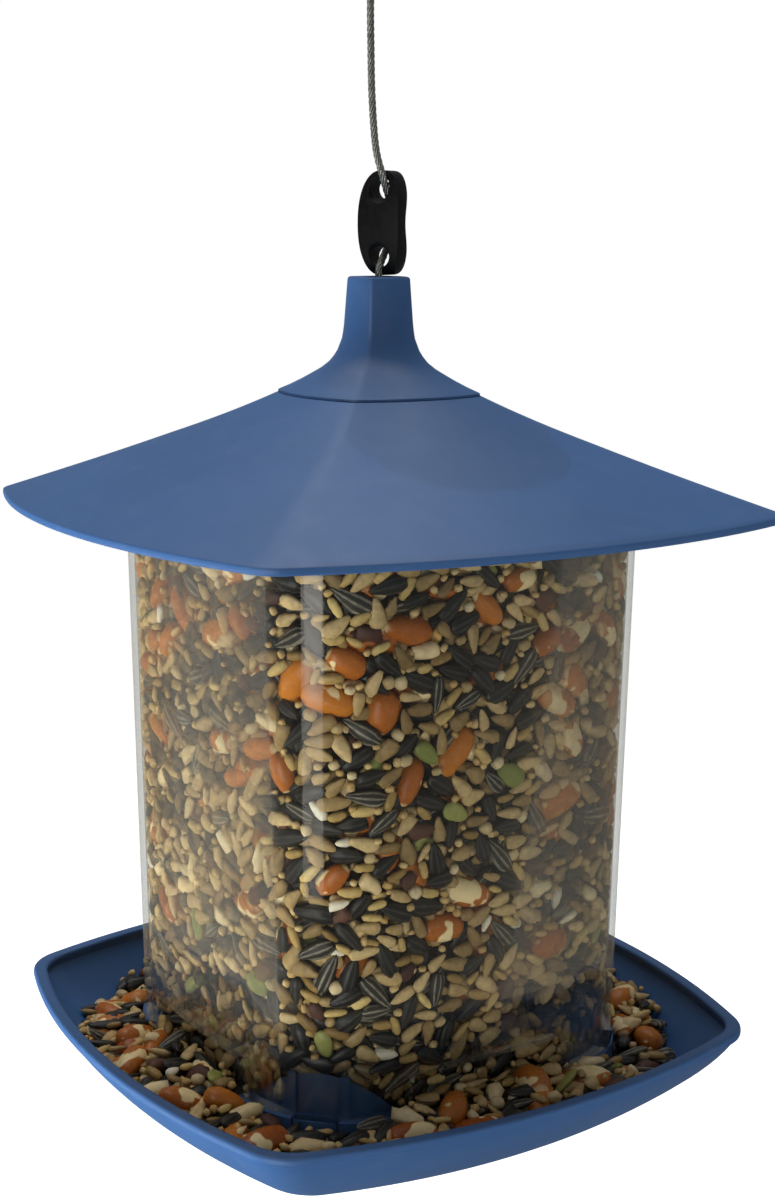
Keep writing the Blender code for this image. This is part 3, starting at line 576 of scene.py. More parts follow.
# %% [markdown]
# ## The roof
#
# The roof is one injection moulding: a shallow hipped shell, a little steeper towards its peak, with a
# narrow upright band round the rim. Its slope is given at a few half widths and blended between them,
# which keeps the facets gently hollow, as on the real roof. A shallow seat round the peak takes the
# edge of the cap, so that the two meet almost flush.

# %% Roof
ROOF_HALF = 0.1100
ROOF_BOW = 2.35
ROOF_CORNER = 0.11
ROOF_WALL = 0.0024
ROOF_RIM_Z = 0.1650
ROOF_RIM_BAND = 0.0023
ROOF_HOLE_HALF = 0.0190
SLOPE_AT = (0.0220, 0.0340, 0.0500, 0.0600, 0.0850, 0.1100)
SLOPE = (0.600, 0.520, 0.460, 0.430, 0.400, 0.385)
NECK_HALF = 0.0092
NECK_BOW = 1.62
NECK_CORNER = 0.22
CAP_HALF = 0.0290
CAP_INSET = 0.0008
ROOF_SEAT_ROUND = 0.0002
ROOF_RIM_ROUND = 0.0009
ROOF_UNDER_ROUND = 0.0004
ROOF_ROWS = 26

fine_half = np.linspace(0.0, ROOF_HALF, 1101)
fine_slope = np.interp(fine_half, SLOPE_AT, SLOPE)
climb = np.concatenate([[0.0], np.cumsum((fine_slope[1:] + fine_slope[:-1]) / 2 * np.diff(fine_half))])


def roof_height(half):
    """Height of the roof's top face over the tray's rim."""
    return ROOF_RIM_Z + ROOF_RIM_BAND + climb[-1] - float(np.interp(half, fine_half, climb))


def roof_plan(half, height):
    """Plan ring of roof and cap, rounder and more bowed near the neck."""
    part = min(1.0, max(0.0, 2 * (half - NECK_HALF) / (ROOF_HALF - NECK_HALF)))
    return plan_ring(half, height, NECK_BOW + (ROOF_BOW - NECK_BOW) * part,
                     NECK_CORNER + (ROOF_CORNER - NECK_CORNER) * part)


rows = np.linspace(ROOF_HOLE_HALF, ROOF_HALF, ROOF_ROWS)
seat_half = CAP_HALF + PIECE_GAP
roof_section = straight([(half, roof_height(half) - CAP_INSET) for half in rows if half < seat_half])
roof_section += [(seat_half, roof_height(seat_half) - CAP_INSET, 0.0),
                 (seat_half, roof_height(seat_half), ROOF_SEAT_ROUND)]
roof_section += straight([(half, roof_height(half)) for half in rows[:-1] if half > seat_half])
roof_section += [(ROOF_HALF, ROOF_RIM_Z + ROOF_RIM_BAND, ROOF_RIM_ROUND),
                 (ROOF_HALF, ROOF_RIM_Z, ROOF_RIM_ROUND),
                 (ROOF_HALF - ROOF_WALL, ROOF_RIM_Z, ROOF_UNDER_ROUND)]
roof_section += straight([(half, roof_height(half) - ROOF_WALL) for half in reversed(rows[:-2])])
roof = skin("roof_shell", [roof_plan(half, height) for half, height in fillet(roof_section)])
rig.ride(roof, "roof")
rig.replaces(roof, "roof")
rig.slot(roof, "navy_plastic")
print("roof", [round(size, 4) for size in roof.dimensions])

# %% [markdown]
# ## The cap and its neck
#
# The cap is a second moulding on the peak. Its edge stands a little over the roof as a thin lip. From
# there it sweeps up into a square neck, with a round recess in its top where the rope comes out. The
# sweep bends late, so it is given as shares: how far out the wall is for each share of the way down.
# The lip fills most of the gap to the roof's seat, so that only a hairline is left.

# %% Cap
CAP_STEP = 0.0006
CAP_WALL = 0.0024
CAP_NECK_TOP = 0.2400
NECK_STRAIGHT = 0.0150
NECK_FLARE = 0.0010
NECK_BORE = 0.0021
NECK_SINK = 0.0045
NECK_SINK_DEPTH = 0.0018
SWEEP_DOWN = (0.0, 0.13, 0.22, 0.30, 0.395, 0.48, 0.573, 0.66, 0.745, 0.836, 0.923, 1.0)
SWEEP_OUT = (0.0, 0.016, 0.032, 0.063, 0.101, 0.154, 0.234, 0.348, 0.495, 0.660, 0.835, 1.0)
HOLLOW_ROWS = 7
SINK_ROUND = 0.0004
NECK_TOP_ROUND = 0.0012
LIP_ROUND = 0.0004
LIP_UNDER_ROUND = 0.0003
LIP_FILL = 0.7

cap_edge = roof_height(CAP_HALF) + CAP_STEP
sweep_top = CAP_NECK_TOP - NECK_STRAIGHT
flared = NECK_HALF + NECK_FLARE
sweep = [(flared + (CAP_HALF - flared) * out, sweep_top + (cap_edge - sweep_top) * down)
         for down, out in zip(SWEEP_DOWN, SWEEP_OUT)]
inner_half = ROOF_HOLE_HALF - CAP_WALL
hollow = [(half - CAP_WALL, height - CAP_WALL) for half, height in sweep[:HOLLOW_ROWS]]
sink_z = CAP_NECK_TOP - NECK_SINK_DEPTH
plain = [(NECK_SINK, CAP_NECK_TOP, SINK_ROUND), (NECK_HALF, CAP_NECK_TOP, NECK_TOP_ROUND)]
plain += straight([(NECK_HALF + NECK_FLARE / 2, CAP_NECK_TOP - NECK_STRAIGHT / 2)] + sweep[:-1])
under_edge = PIECE_GAP - CAP_INSET
lip_half = CAP_HALF + LIP_FILL * PIECE_GAP
plain += [(lip_half, cap_edge, LIP_ROUND),
          (lip_half, roof_height(CAP_HALF) + under_edge, LIP_UNDER_ROUND)]
plain += straight([(inner_half, roof_height(inner_half) + under_edge)] + hollow[::-1])
plain += straight([(NECK_HALF - CAP_WALL, sink_z - CAP_WALL)])
cap_rings = [roof_plan(half, height) for half, height in fillet(plain)[FILLET_STEPS + 1:]]
cap_rings += [round_ring(NECK_BORE, sink_z - CAP_WALL), round_ring(NECK_BORE, sink_z),
              round_ring(NECK_SINK, sink_z), round_ring(NECK_SINK, CAP_NECK_TOP - SINK_ROUND),
              round_ring(NECK_SINK + SINK_ROUND, CAP_NECK_TOP)]
cap = skin("roof_cap_shell", cap_rings)
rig.ride(cap, "roof")
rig.replaces(cap, "roof_cap")
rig.slot(cap, "navy_plastic")
print("cap", [round(size, 4) for size in cap.dimensions])

# %% [markdown]
# ## Cutting shapes out of shapes
#
# The hopper's ports, the tray's seats and the stopper's holes are easiest to think of as cuts. A
# Boolean modifier does each one, and `carve` keeps only its result, so that no cutter is left in the
# scene.

# %% Boolean helper
def carve(piece, cutters, operation="DIFFERENCE"):
    """Cut, join or intersect a piece with each cutter, then delete the cutters."""
    for cutter in cutters:
        modifier = piece.modifiers.new(operation.title(), "BOOLEAN")
        modifier.operation = operation
        modifier.solver = "EXACT"
        modifier.object = cutter
    bpy.context.view_layer.update()
    result = bpy.data.meshes.new_from_object(piece.evaluated_get(bpy.context.evaluated_depsgraph_get()))
    piece.modifiers.clear()
    piece.data = result
    result.shade_smooth()
    result.set_sharp_from_angle(angle=SHARP)
    for cutter in cutters:
        bpy.data.objects.remove(cutter, do_unlink=True)
    return piece


def prism(name, outline, low, high, place):
    """A flat outline of (x, z) points drawn out along Y, then placed."""
    rings = [[place @ Vector((x, y, z)) for x, z in outline] for y in (low, high)]
    return skin(name, rings, closed=False)


def block(name, size, place):
    """A box of a size about a place."""
    x, y, z = (length / 2 for length in size)
    return prism(name, [(-x, -z), (x, -z), (x, z), (-x, z)], -y, y, place)


def drum(name, radius, low, high, centre, sides=64):
    """An upright cylinder between two heights over the tray's rim."""
    rings = []
    for height in (low, high):
        rings.append([Vector((centre[0] + radius * math.cos(2 * math.pi * step / sides),
                              centre[1] + radius * math.sin(2 * math.pi * step / sides), height + RIM_Z))
                      for step in range(sides)])
    return skin(name, rings, closed=False)


def lift(height):
    return Matrix.Translation((0.0, 0.0, height + RIM_Z))


# %% [markdown]
# ## The clear hopper
#
# A moulded tube of clear plastic, 2 mm thick, that narrows a little towards its feet.
# Four long openings at the foot leave four legs at the corners, where a short tongue under each leg
# clips into the tray. The wall must have two faces: the seed touches the inner one, and the light
# catches both, which is what makes a clear wall read as plastic and not as air.

# %% Hopper
HOPPER_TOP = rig.box("hopper")[1].z - RIM_Z
HOPPER_HALF_TOP = 0.0728
HOPPER_HALF_FOOT = 0.0681
HOPPER_BOW = 6.0
HOPPER_CORNER = 0.55
HOPPER_WALL = 0.0020
LEDGE_Z = -0.0088
PORT_HALF = 0.0286
PORT_TOP_Z = 0.0030
PORT_CORNER = 0.0030
TONGUE_HALF = 0.0070
TONGUE_DEPTH = 0.0040
MOUTH_ROUND = 0.0006
PORT_CORNER_STEPS = 8
CUT_SPARE = 0.01
CUT_REACH = 0.1


def hopper_half(height):
    """Half width of the hopper's outside at a height over the tray's rim."""
    part = (height - LEDGE_Z) / (HOPPER_TOP - LEDGE_Z)
    return HOPPER_HALF_FOOT + (HOPPER_HALF_TOP - HOPPER_HALF_FOOT) * part


def hopper_ring(height, inset):
    """The hopper's plan at a height, inset from its outside."""
    half = hopper_half(height)
    inner = half - inset
    return plan_ring(inner, height, (HOPPER_BOW * half - inset) / inner,
                     (HOPPER_CORNER * half - inset) / inner)


leg_end = LEDGE_Z + PIECE_GAP
foot = leg_end - TONGUE_DEPTH
section = fillet([(0.0, foot, 0.0), (0.0, HOPPER_TOP, MOUTH_ROUND),
                  (HOPPER_WALL, HOPPER_TOP, MOUTH_ROUND), (HOPPER_WALL, foot, 0.0)])
hopper = skin("clear_hopper", [hopper_ring(height, inset) for inset, height in section])
port_outline = [(-PORT_HALF, foot - CUT_SPARE)]
for side, start in ((-1, math.pi), (1, math.pi / 2)):
    for turn in np.linspace(0.0, math.pi / 2, PORT_CORNER_STEPS):
        port_outline.append((side * (PORT_HALF - PORT_CORNER) + PORT_CORNER * math.cos(start - turn),
                             PORT_TOP_Z - PORT_CORNER + PORT_CORNER * math.sin(start - turn)))
port_outline.append((PORT_HALF, foot - CUT_SPARE))
ports = [prism(f"port cutter {turn}", port_outline, -CUT_REACH, CUT_REACH,
               lift(0.0) @ Matrix.Rotation(math.radians(turn), 4, "Z")) for turn in (0, 90)]
trim = block("leg trim", (4 * CUT_REACH, 4 * CUT_REACH, 2 * CUT_SPARE), lift(leg_end - CUT_SPARE))
keeps = [block(f"tongue keep {turn}", (5 * CUT_REACH, 2 * TONGUE_HALF, 3 * CUT_SPARE),
               lift(leg_end - CUT_SPARE) @ Matrix.Rotation(math.radians(turn), 4, "Z"))
         for turn in (45, 135)]
carve(trim, keeps)
carve(hopper, ports + [trim])
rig.ride(hopper, "hopper")
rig.replaces(hopper, "hopper")
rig.slot(hopper, "clear_plastic")
print("hopper faces", len(hopper.data.polygons))

# %% [markdown]
# ## The tray
#
# The tray is a bowl on the same kind of plan, with a rolled lip. Its wall is drawn as a run of points
# that crowd towards the lip, where the curve is tightest, and the inside is the same run moved in by
# the wall's thickness. A pocket under the middle holds the rope's stop.

# %% Tray shell
TRAY_HALF = 0.1023
TRAY_BOW = 2.56
TRAY_CORNER = 0.168
TRAY_WALL = 0.0024
TRAY_DEPTH = 0.0290
LIP_WIDTH = 0.0044
LIP_OVERHANG = 0.0011
LIP_DROP = 0.0028
BASE_HALF = HOPPER_HALF_FOOT - 0.0043
WALL_BEND = 0.80
WALL_ROWS = 16
ROW_CROWDING = 1.4
TRAY_FOOT_ROUND = 0.0012
TRAY_LIP_ROUNDS = (0.0005, 0.0009, 0.0013, 0.0013)
POCKET_HALF = 0.0150
POCKET_DEPTH = 0.0120
FLOOR_Z = -TRAY_DEPTH + TRAY_WALL


def tray_ring(half, height):
    """The tray's plan at a half width and a height."""
    return plan_ring(half, height, TRAY_BOW, TRAY_CORNER)


wall_start = Vector((TRAY_HALF - LIP_OVERHANG, -LIP_DROP))
wall_end = Vector((BASE_HALF, -TRAY_DEPTH))
wall = []
for part in np.linspace(0.0, 1.0, WALL_ROWS) ** ROW_CROWDING:
    lean = math.sin(part * math.pi / 2) ** WALL_BEND
    wall.append(Vector((wall_start.x + (wall_end.x - wall_start.x) * part,
                        wall_start.y + (wall_end.y - wall_start.y) * lean)))
inside = []
for before, here, after in zip(wall, wall[1:], wall[2:]):
    along = after - before
    inside.append(here + Vector((along.y, -along.x)).normalized() * TRAY_WALL)
inside.append(Vector((wall[-1].x, FLOOR_Z)))
pocket_z = -TRAY_DEPTH + POCKET_DEPTH
boss = POCKET_HALF + TRAY_WALL
lip = [tuple(wall_start), (TRAY_HALF, -LIP_DROP), (TRAY_HALF, 0.0), (TRAY_HALF - LIP_WIDTH, 0.0)]
tray_section = [(wall_end.x, wall_end.y, TRAY_FOOT_ROUND)] + straight(wall[-2:0:-1])
tray_section += [(*point, radius) for point, radius in zip(lip, TRAY_LIP_ROUNDS)]
tray_section += straight(inside) + [(boss + 0.001, FLOOR_Z, 0.0)]
rings = [round_ring(NECK_BORE, pocket_z), round_ring(POCKET_HALF, pocket_z),
         round_ring(POCKET_HALF, -TRAY_DEPTH)]
rings += [tray_ring(half, height) for half, height in fillet(tray_section)[:-1]]
rings += [round_ring(boss, FLOOR_Z), round_ring(boss, pocket_z + TRAY_WALL),
          round_ring(NECK_BORE, pocket_z + TRAY_WALL)]
tray = skin("tray_shell", rings)
print("tray", [round(size, 4) for size in tray.dimensions], "faces", len(tray.data.polygons))

# %% [markdown]
# Each corner of the tray holds a seat for one leg of the hopper: a ledge, an upright face with two ribs
# behind the leg, and a slope that sends the seed towards the ports. A leg's tongue drops into the slot
# in the ledge. One kind of seat is built four times, turned into its corner and joined on.

# %% Corner seats
SEAT_MARGIN = 0.0010
SEAT_BACK = 0.0025
SEAT_PEAK_Z = 0.0040
SEAT_SLOPE = 1.55
RIB_ANGLES = (-14.0, 14.0)
RIB_WIDTH = 0.0026
RIB_PROUD = 0.0014
TONGUE_PLAY = 0.0004
SEAT_SIDES = 96
SEAT_CUT = 0.2
leg_centre = corner_centre(hopper_half(LEDGE_Z), HOPPER_BOW, HOPPER_CORNER)
leg_radius = HOPPER_CORNER * hopper_half(LEDGE_Z)
face_radius = leg_radius - HOPPER_WALL - SEAT_BACK


def corner_seat(name):
    """The seat in the tray's corner at -X, -Y."""
    bottom = FLOOR_Z - TRAY_WALL / 2
    corner = (-leg_centre, -leg_centre)
    seat = drum(name, leg_radius + SEAT_MARGIN, bottom, LEDGE_Z, corner, SEAT_SIDES)
    back = drum("seat back", face_radius, bottom, SEAT_PEAK_Z, corner, SEAT_SIDES)
    carve(seat, [back], "UNION")
    middle = -PORT_HALF - SEAT_CUT / 2
    carve(seat, [block("quarter", (SEAT_CUT, SEAT_CUT, SEAT_CUT),
                       Matrix.Translation((middle, middle, RIM_Z)))], "INTERSECT")
    ribs = []
    for lean in RIB_ANGLES:
        angle = math.radians(225.0 + lean)
        out = face_radius + RIB_PROUD - RIB_WIDTH / 2
        foot_z = LEDGE_Z - RIB_WIDTH
        place = (Matrix.Translation((corner[0] + out * math.cos(angle), corner[1] + out * math.sin(angle),
                                     (SEAT_PEAK_Z + foot_z) / 2 + RIM_Z))
                 @ Matrix.Rotation(angle, 4, "Z"))
        ribs.append(block("rib", (RIB_WIDTH, RIB_WIDTH, SEAT_PEAK_Z - foot_z), place))
    carve(seat, ribs, "UNION")
    bend = TONGUE_HALF ** 2 / (2 * (leg_radius - HOPPER_WALL))
    slot_reach = (leg_centre * math.sqrt(2) + leg_radius - (HOPPER_WALL + bend) / 2) / math.sqrt(2)
    slot = block("slot", (HOPPER_WALL + bend + 2 * TONGUE_PLAY, 2 * (TONGUE_HALF + TONGUE_PLAY),
                          2 * (TONGUE_DEPTH + PIECE_GAP)),
                 Matrix.Translation((-slot_reach, -slot_reach, LEDGE_Z + RIM_Z))
                 @ Matrix.Rotation(math.radians(45.0), 4, "Z"))
    run = (leg_centre * math.sqrt(2) + face_radius) / math.sqrt(2)
    slope = block("slope", (SEAT_CUT, SEAT_CUT, SEAT_CUT),
                  Matrix.Translation((-run, -run, SEAT_PEAK_Z + RIM_Z))
                  @ Matrix.Rotation(math.radians(225.0), 4, "Z")
                  @ Matrix.Rotation(-math.atan(SEAT_SLOPE), 4, "Y")
                  @ Matrix.Translation((0.0, 0.0, SEAT_CUT / 2)))
    return carve(seat, [slot, slope])


seats = []
for turn in range(4):
    seat = corner_seat(f"seat {turn}")
    seat.data.transform(Matrix.Rotation(turn * math.pi / 2, 4, "Z"))
    seats.append(seat)
carve(tray, seats, "UNION")
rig.ride(tray, "hanger_and_tray")
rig.replaces(tray, "tray")
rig.slot(tray, "navy_plastic")
print("tray with seats, faces", len(tray.data.polygons))

# %% [markdown]
# ## The stopper
#
# A small black moulding holds the roof down by friction: the rope goes in at one hole, runs behind the
# waist and comes out at the other. It is the overlap of two outlines: a tall oval seen from the front,
# and from the side a bar whose face bows out. Its outer edges are rounded by a Bevel modifier before
# the holes are cut, because a bevel likes simple edges.

# %% Stopper
STOPPER_WIDTH = 0.0146
STOPPER_FULLNESS = 2.6
HOLE_RADIUS = 0.0033
HOLE_FLARE = 0.0005
EDGE_ROUND = 0.0012
OVAL_START = 0.02
HOLE_CUT = 0.01
OUTLINE_REACH = 0.02

rise = STOPPER_HEIGHT * np.linspace(-0.5, 0.5, 25)
arch = STOPPER_ARCH * (1.0 - (2 * rise / STOPPER_HEIGHT) ** 2)
waist = STOPPER_WAIST * (0.5 + 0.5 * np.cos(math.pi * np.minimum(1.0, abs(rise) / HOLE_RISE)))
sides = list(zip(arch, rise))[::-1] + list(zip(arch - STOPPER_THICKNESS + waist, rise))
turn = np.linspace(0.0, 2 * math.pi, 72, endpoint=False) + OVAL_START
oval = [np.sign(part) * abs(part) ** (2 / STOPPER_FULLNESS) for part in (np.cos(turn), np.sin(turn))]
front = list(zip(oval[0] * STOPPER_WIDTH / 2, oval[1] * STOPPER_HEIGHT / 2))
stand = Matrix.Translation(on_stopper(-STOPPER_FACE, 0.0))
facing = stand @ Matrix.Rotation(STOPPER_TURN, 4, "Z")
sideways = stand @ Matrix.Rotation(STOPPER_TURN - math.pi / 2, 4, "Z")
stopper = prism("stopper_body", sides, -STOPPER_WIDTH, STOPPER_WIDTH, sideways)
carve(stopper, [prism("stopper outline", front, -OUTLINE_REACH, OUTLINE_REACH, facing)], "INTERSECT")
bevel = stopper.modifiers.new("Rounded edges", "BEVEL")
bevel.width = EDGE_ROUND
bevel.segments = 4
bevel.limit_method = "ANGLE"
bevel.angle_limit = math.radians(50.0)
carve(stopper, [])
holes = []
bow = STOPPER_ARCH * (1.0 - (2 * HOLE_RISE / STOPPER_HEIGHT) ** 2)
back_flare = STOPPER_THICKNESS - HOLE_FLARE
circle = [(math.cos(turn), math.sin(turn)) for turn in np.linspace(0, 2 * math.pi, 40, endpoint=False)]
for side in (-1, 1):
    place = facing @ Matrix.Translation((0.0, -bow, side * HOLE_RISE))
    hole_rings = []
    for out, radius in ((HOLE_FLARE - HOLE_CUT, HOLE_RADIUS + HOLE_CUT), (HOLE_FLARE, HOLE_RADIUS),
                        (back_flare, HOLE_RADIUS), (back_flare + HOLE_CUT, HOLE_RADIUS + HOLE_CUT)):
        hole_rings.append([place @ Vector((radius * x, out, radius * z)) for x, z in circle])
    holes.append(skin("stopper hole", hole_rings, closed=False))
groove_line = np.asarray(knotted_line[:-1])
round_off = np.array([(math.cos(turn), math.sin(turn)) for turn in np.linspace(0, 2 * math.pi, 16, False)])
groove_ahead = np.gradient(groove_line, axis=0)
groove_ahead /= np.linalg.norm(groove_ahead, axis=1)[:, None]
across = np.cross(groove_ahead, np.array([math.cos(STOPPER_TURN), math.sin(STOPPER_TURN), 0.0]))
across /= np.linalg.norm(across, axis=1)[:, None]
level = np.cross(across, groove_ahead)
groove_rings = [spot + (ROPE_RADIUS + ROPE_PLAY) * (round_off[:, :1] * one + round_off[:, 1:] * other)
                for spot, one, other in zip(groove_line, across, level)]
carve(stopper, holes + [skin("rope groove", groove_rings[::2], closed=False)])
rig.ride(stopper, "stopper")
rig.replaces(stopper, "cable_slider")
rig.slot(stopper, "black_plastic")
print("stopper faces", len(stopper.data.polygons))

# %% [markdown]
# ## Finishes
#
# Every finish here is a Principled shader fed by procedural noise, so it needs no image and holds up
# at any distance. `Finish` is a small helper: it adds a node, sets its plain inputs and links the
# inputs that are given as another node's output.
#
# Texture space is the piece's own, in metres, so a noise of scale 1000 has lumps of about a millimetre.

# %% Finish helper
class Finish:
    def __init__(self, name, **shader):
        self.material = bpy.data.materials.new(name)
        self.material.use_nodes = True
        self.tree = self.material.node_tree
        self.shader = self.tree.nodes["Principled BSDF"]
        self.output = self.tree.nodes["Material Output"]
        self.feed(self.shader, {key.replace("_", " "): value for key, value in shader.items()})
        self.place = self.add("ShaderNodeTexCoord").outputs["Object"]

    def feed(self, node, inputs):
        """Set or link inputs of a node."""
        for key, value in inputs.items():
            if isinstance(value, bpy.types.NodeSocket):
                self.tree.links.new(value, node.inputs[key])
            else:
                node.inputs[key].default_value = value

    def add(self, kind, inputs=None, **settings):
        """A new node with its inputs and settings."""
        node = self.tree.nodes.new(kind)
        for key, value in settings.items():
            setattr(node, key, value)
        self.feed(node, inputs or {})
        return node

    def noise(self, scale, detail=2.0, roughness=0.5, place=None):
        return self.add("ShaderNodeTexNoise", {"Vector": place or self.place, "Scale": scale,
                                               "Detail": detail, "Roughness": roughness}).outputs["Fac"]

    def ramp(self, value, *stops):
        """Colours along a value; a stop is (position, colour)."""
        node = self.add("ShaderNodeValToRGB", {"Fac": value})
        points = node.color_ramp.elements
        while len(points) < len(stops):
            points.new(0.5)
        for point, (position, colour) in zip(points, stops):
            point.position = position
            point.color = (*colour, 1.0)
        return node.outputs["Color"]

    def span(self, value, low, high, start=0.0, stop=1.0):
        """Stretch a value from start..stop to low..high."""
        return self.add("ShaderNodeMapRange", {"Value": value, "From Min": start, "From Max": stop,
                                               "To Min": low, "To Max": high}).outputs["Result"]

    def mix(self, share, one, other):
        """A colour between two others."""
        node = self.add("ShaderNodeMix", data_type="RGBA")
        self.feed(node, {0: share, 6: one, 7: other})
        return node.outputs[2]

    def math(self, operation, one, other):
        return self.add("ShaderNodeMath", {0: one, 1: other}, operation=operation).outputs[0]

    def bump(self, height, distance, strength=1.0):
        return self.add("ShaderNodeBump", {"Height": height, "Distance": distance,
                                           "Strength": strength}).outputs["Normal"]

    def attribute(self, name, output="Fac"):
        return self.add("ShaderNodeAttribute", attribute_name=name).outputs[output]

    def dress(self, *pieces):
        """Give this finish to pieces in place of what they had."""
        for piece in pieces:
            piece.data.materials.clear()
            piece.data.materials.append(self.material)


# %% [markdown]
# **Navy plastic.** The mould was spark-eroded, which leaves a fine even grain: a shallow bump at about
# a third of a millimetre. A slow noise makes the gloss uneven and lays a trace of grey dust, as
# handling and seed do, and a slower one shifts the blue by a few parts in a hundred.

# %% Navy plastic
NAVY = (0.033, 0.095, 0.238)
DUST = (0.42, 0.42, 0.40, 1.0)
GRAIN_SCALE = 2600.0
GRAIN_DEPTH = 0.00006
blue = Finish("navy_plastic", Coat_Weight=0.0)
shade = blue.noise(14.0, 3.0)
dust = blue.noise(90.0, 5.0, 0.65)
base = blue.mix(blue.span(shade, 0.0, 1.0, 0.35, 0.65), tuple(0.93 * part for part in NAVY) + (1.0,),
                tuple(1.06 * part for part in NAVY) + (1.0,))
base = blue.mix(blue.span(dust, 0.0, 0.05, 0.55, 0.80), base, DUST)
blue.feed(blue.shader, {
    "Base Color": base, "Roughness": blue.span(dust, 0.38, 0.50, 0.3, 0.7), "IOR": 1.49,
    "Normal": blue.bump(blue.noise(GRAIN_SCALE, 3.0, 0.6), GRAIN_DEPTH, 0.55)})
blue.dress(roof, cap, tray, frame["nodes"]["seed_cone"], frame["nodes"]["roof_collar"])

# %% [markdown]
# **Black plastic.** The stopper is a softer, matter moulding. Its edges are polished a little by the
# rope and by fingers, so its roughness varies more than its colour.

# %% Black plastic
black = Finish("black_plastic", IOR=1.47, Specular_IOR_Level=0.18)
wear = black.noise(420.0, 4.0, 0.6)
black.feed(black.shader, {
    "Base Color": black.ramp(wear, (0.3, (0.002, 0.002, 0.002)), (0.8, (0.005, 0.005, 0.005))),
    "Roughness": black.span(wear, 0.36, 0.58, 0.3, 0.7),
    "Normal": black.bump(black.noise(2400.0, 3.0), 0.00005, 0.5)})
black.dress(stopper)

# %% [markdown]
# **Wire rope.** Drawn steel with a trace of old grease between the strands, which gives it a slight
# green-grey tint. Fine scratches run every way, because each strand twists.

# %% Wire rope and crimps
wire = Finish("wire_rope", Metallic=0.85)
grease = wire.noise(700.0, 4.0, 0.7)
wire.feed(wire.shader, {
    "Base Color": wire.ramp(grease, (0.30, (0.17, 0.18, 0.145)), (0.70, (0.46, 0.47, 0.42))),
    "Roughness": wire.span(grease, 0.50, 0.30, 0.3, 0.7),
    "Normal": wire.bump(wire.noise(9000.0, 2.0), 0.00002, 0.5)})
wire.dress(*ropes)

crimp = Finish("crimp_aluminium", Metallic=1.0)
dents = crimp.noise(650.0, 3.0)
crimp.feed(crimp.shader, {
    "Base Color": crimp.ramp(dents, (0.3, (0.52, 0.52, 0.53)), (0.7, (0.76, 0.76, 0.75))),
    "Roughness": crimp.span(dents, 0.28, 0.46, 0.3, 0.7),
    "Normal": crimp.bump(dents, 0.00012, 0.7)})
crimp.dress(*(frame["nodes"][name] for name in ("top_ferrule", "cable_stop", "anchor_washer")))

# %% [markdown]
# **Clear plastic.** True refraction through two thin walls would darken the seed and cost many
# samples. A thin clear wall hardly bends light, so this one is a transparent sheet with two things on
# it: a mirror that grows at grazing angles, by Fresnel's law, and a faint milky haze from moulding and
# seed dust, denser in patches and along fine vertical rub marks. Clear plastic looks grey where one
# sees along its wall: the haze grows as the view gets flat. Only half of the Fresnel share is used,
# because the wall's two faces are both here and each mirrors.

# %% Clear plastic
clear = Finish("clear_plastic")
HAZE_COLOUR = (0.80, 0.77, 0.66, 1.0)
CLOUD_HAZE = 0.003
RUB_HAZE = 0.008
GRAZING_HAZE = 0.45
BASE_HAZE = 0.001
MIRROR_SHARE = 0.5
rub_place = clear.add("ShaderNodeMapping", {"Vector": clear.place, "Scale": (1.0, 1.0, 0.12)}).outputs[0]
rubs = clear.span(clear.noise(900.0, 3.0, 0.7, rub_place), 0.0, 1.0, 0.60, 0.85)
clouds = clear.span(clear.noise(16.0, 3.0, 0.55), 0.0, 1.0, 0.42, 0.70)
grazing = clear.add("ShaderNodeLayerWeight", {"Blend": 0.10}).outputs["Facing"]
grazing = clear.math("MULTIPLY", grazing, grazing)
haze = clear.math("ADD", clear.math("MULTIPLY", clouds, CLOUD_HAZE), clear.math("MULTIPLY", rubs, RUB_HAZE))
haze = clear.math("ADD", haze, clear.math("MULTIPLY", grazing, GRAZING_HAZE))
haze = clear.math("ADD", haze, BASE_HAZE)
waves = clear.bump(clear.noise(11.0, 1.0), 0.0004, 0.25)
see_through = clear.add("ShaderNodeBsdfTransparent", {"Color": (0.975, 0.985, 0.975, 1.0)}).outputs[0]
milk = clear.add("ShaderNodeBsdfDiffuse", {"Color": HAZE_COLOUR}).outputs[0]
mirror = clear.add("ShaderNodeBsdfGlossy", {"Color": (1.0, 0.96, 0.88, 1.0), "Roughness": 0.05,
                                            "Normal": waves}).outputs[0]
fresnel = clear.add("ShaderNodeFresnel", {"IOR": 1.46, "Normal": waves}).outputs[0]
fresnel = clear.math("MULTIPLY", fresnel, MIRROR_SHARE)
hazed = clear.add("ShaderNodeMixShader", {0: haze, 1: see_through, 2: milk}).outputs[0]
wall_look = clear.add("ShaderNodeMixShader", {0: fresnel, 1: hazed, 2: mirror}).outputs[0]
clear.feed(clear.output, {"Surface": wall_look})
clear.dress(hopper)
print("finishes", sorted(material.name for material in bpy.data.materials))

# %% [markdown]
# ## The seed mix
#
# The seed is what the eye goes to, so it is made of seeds: shelled peanuts, black and striped
# sunflower, sunflower hearts, grain, safflower, sorghum, millet and a few raisins, corn chips and
# pumpkin seeds. A particle system could drop them, but settling thousands of shapes takes minutes and
# most of them would end up inside, unseen. Here the seeds are laid where they can be seen: against
# the clear wall, and over the heaps.
#
# A kind is a spindle with a length, a width and a thickness. `point` makes its ends blunt or, nearer
# to 1, sharp, and `lean` moves its fat part towards one end. `rough` is how much its corners stray.

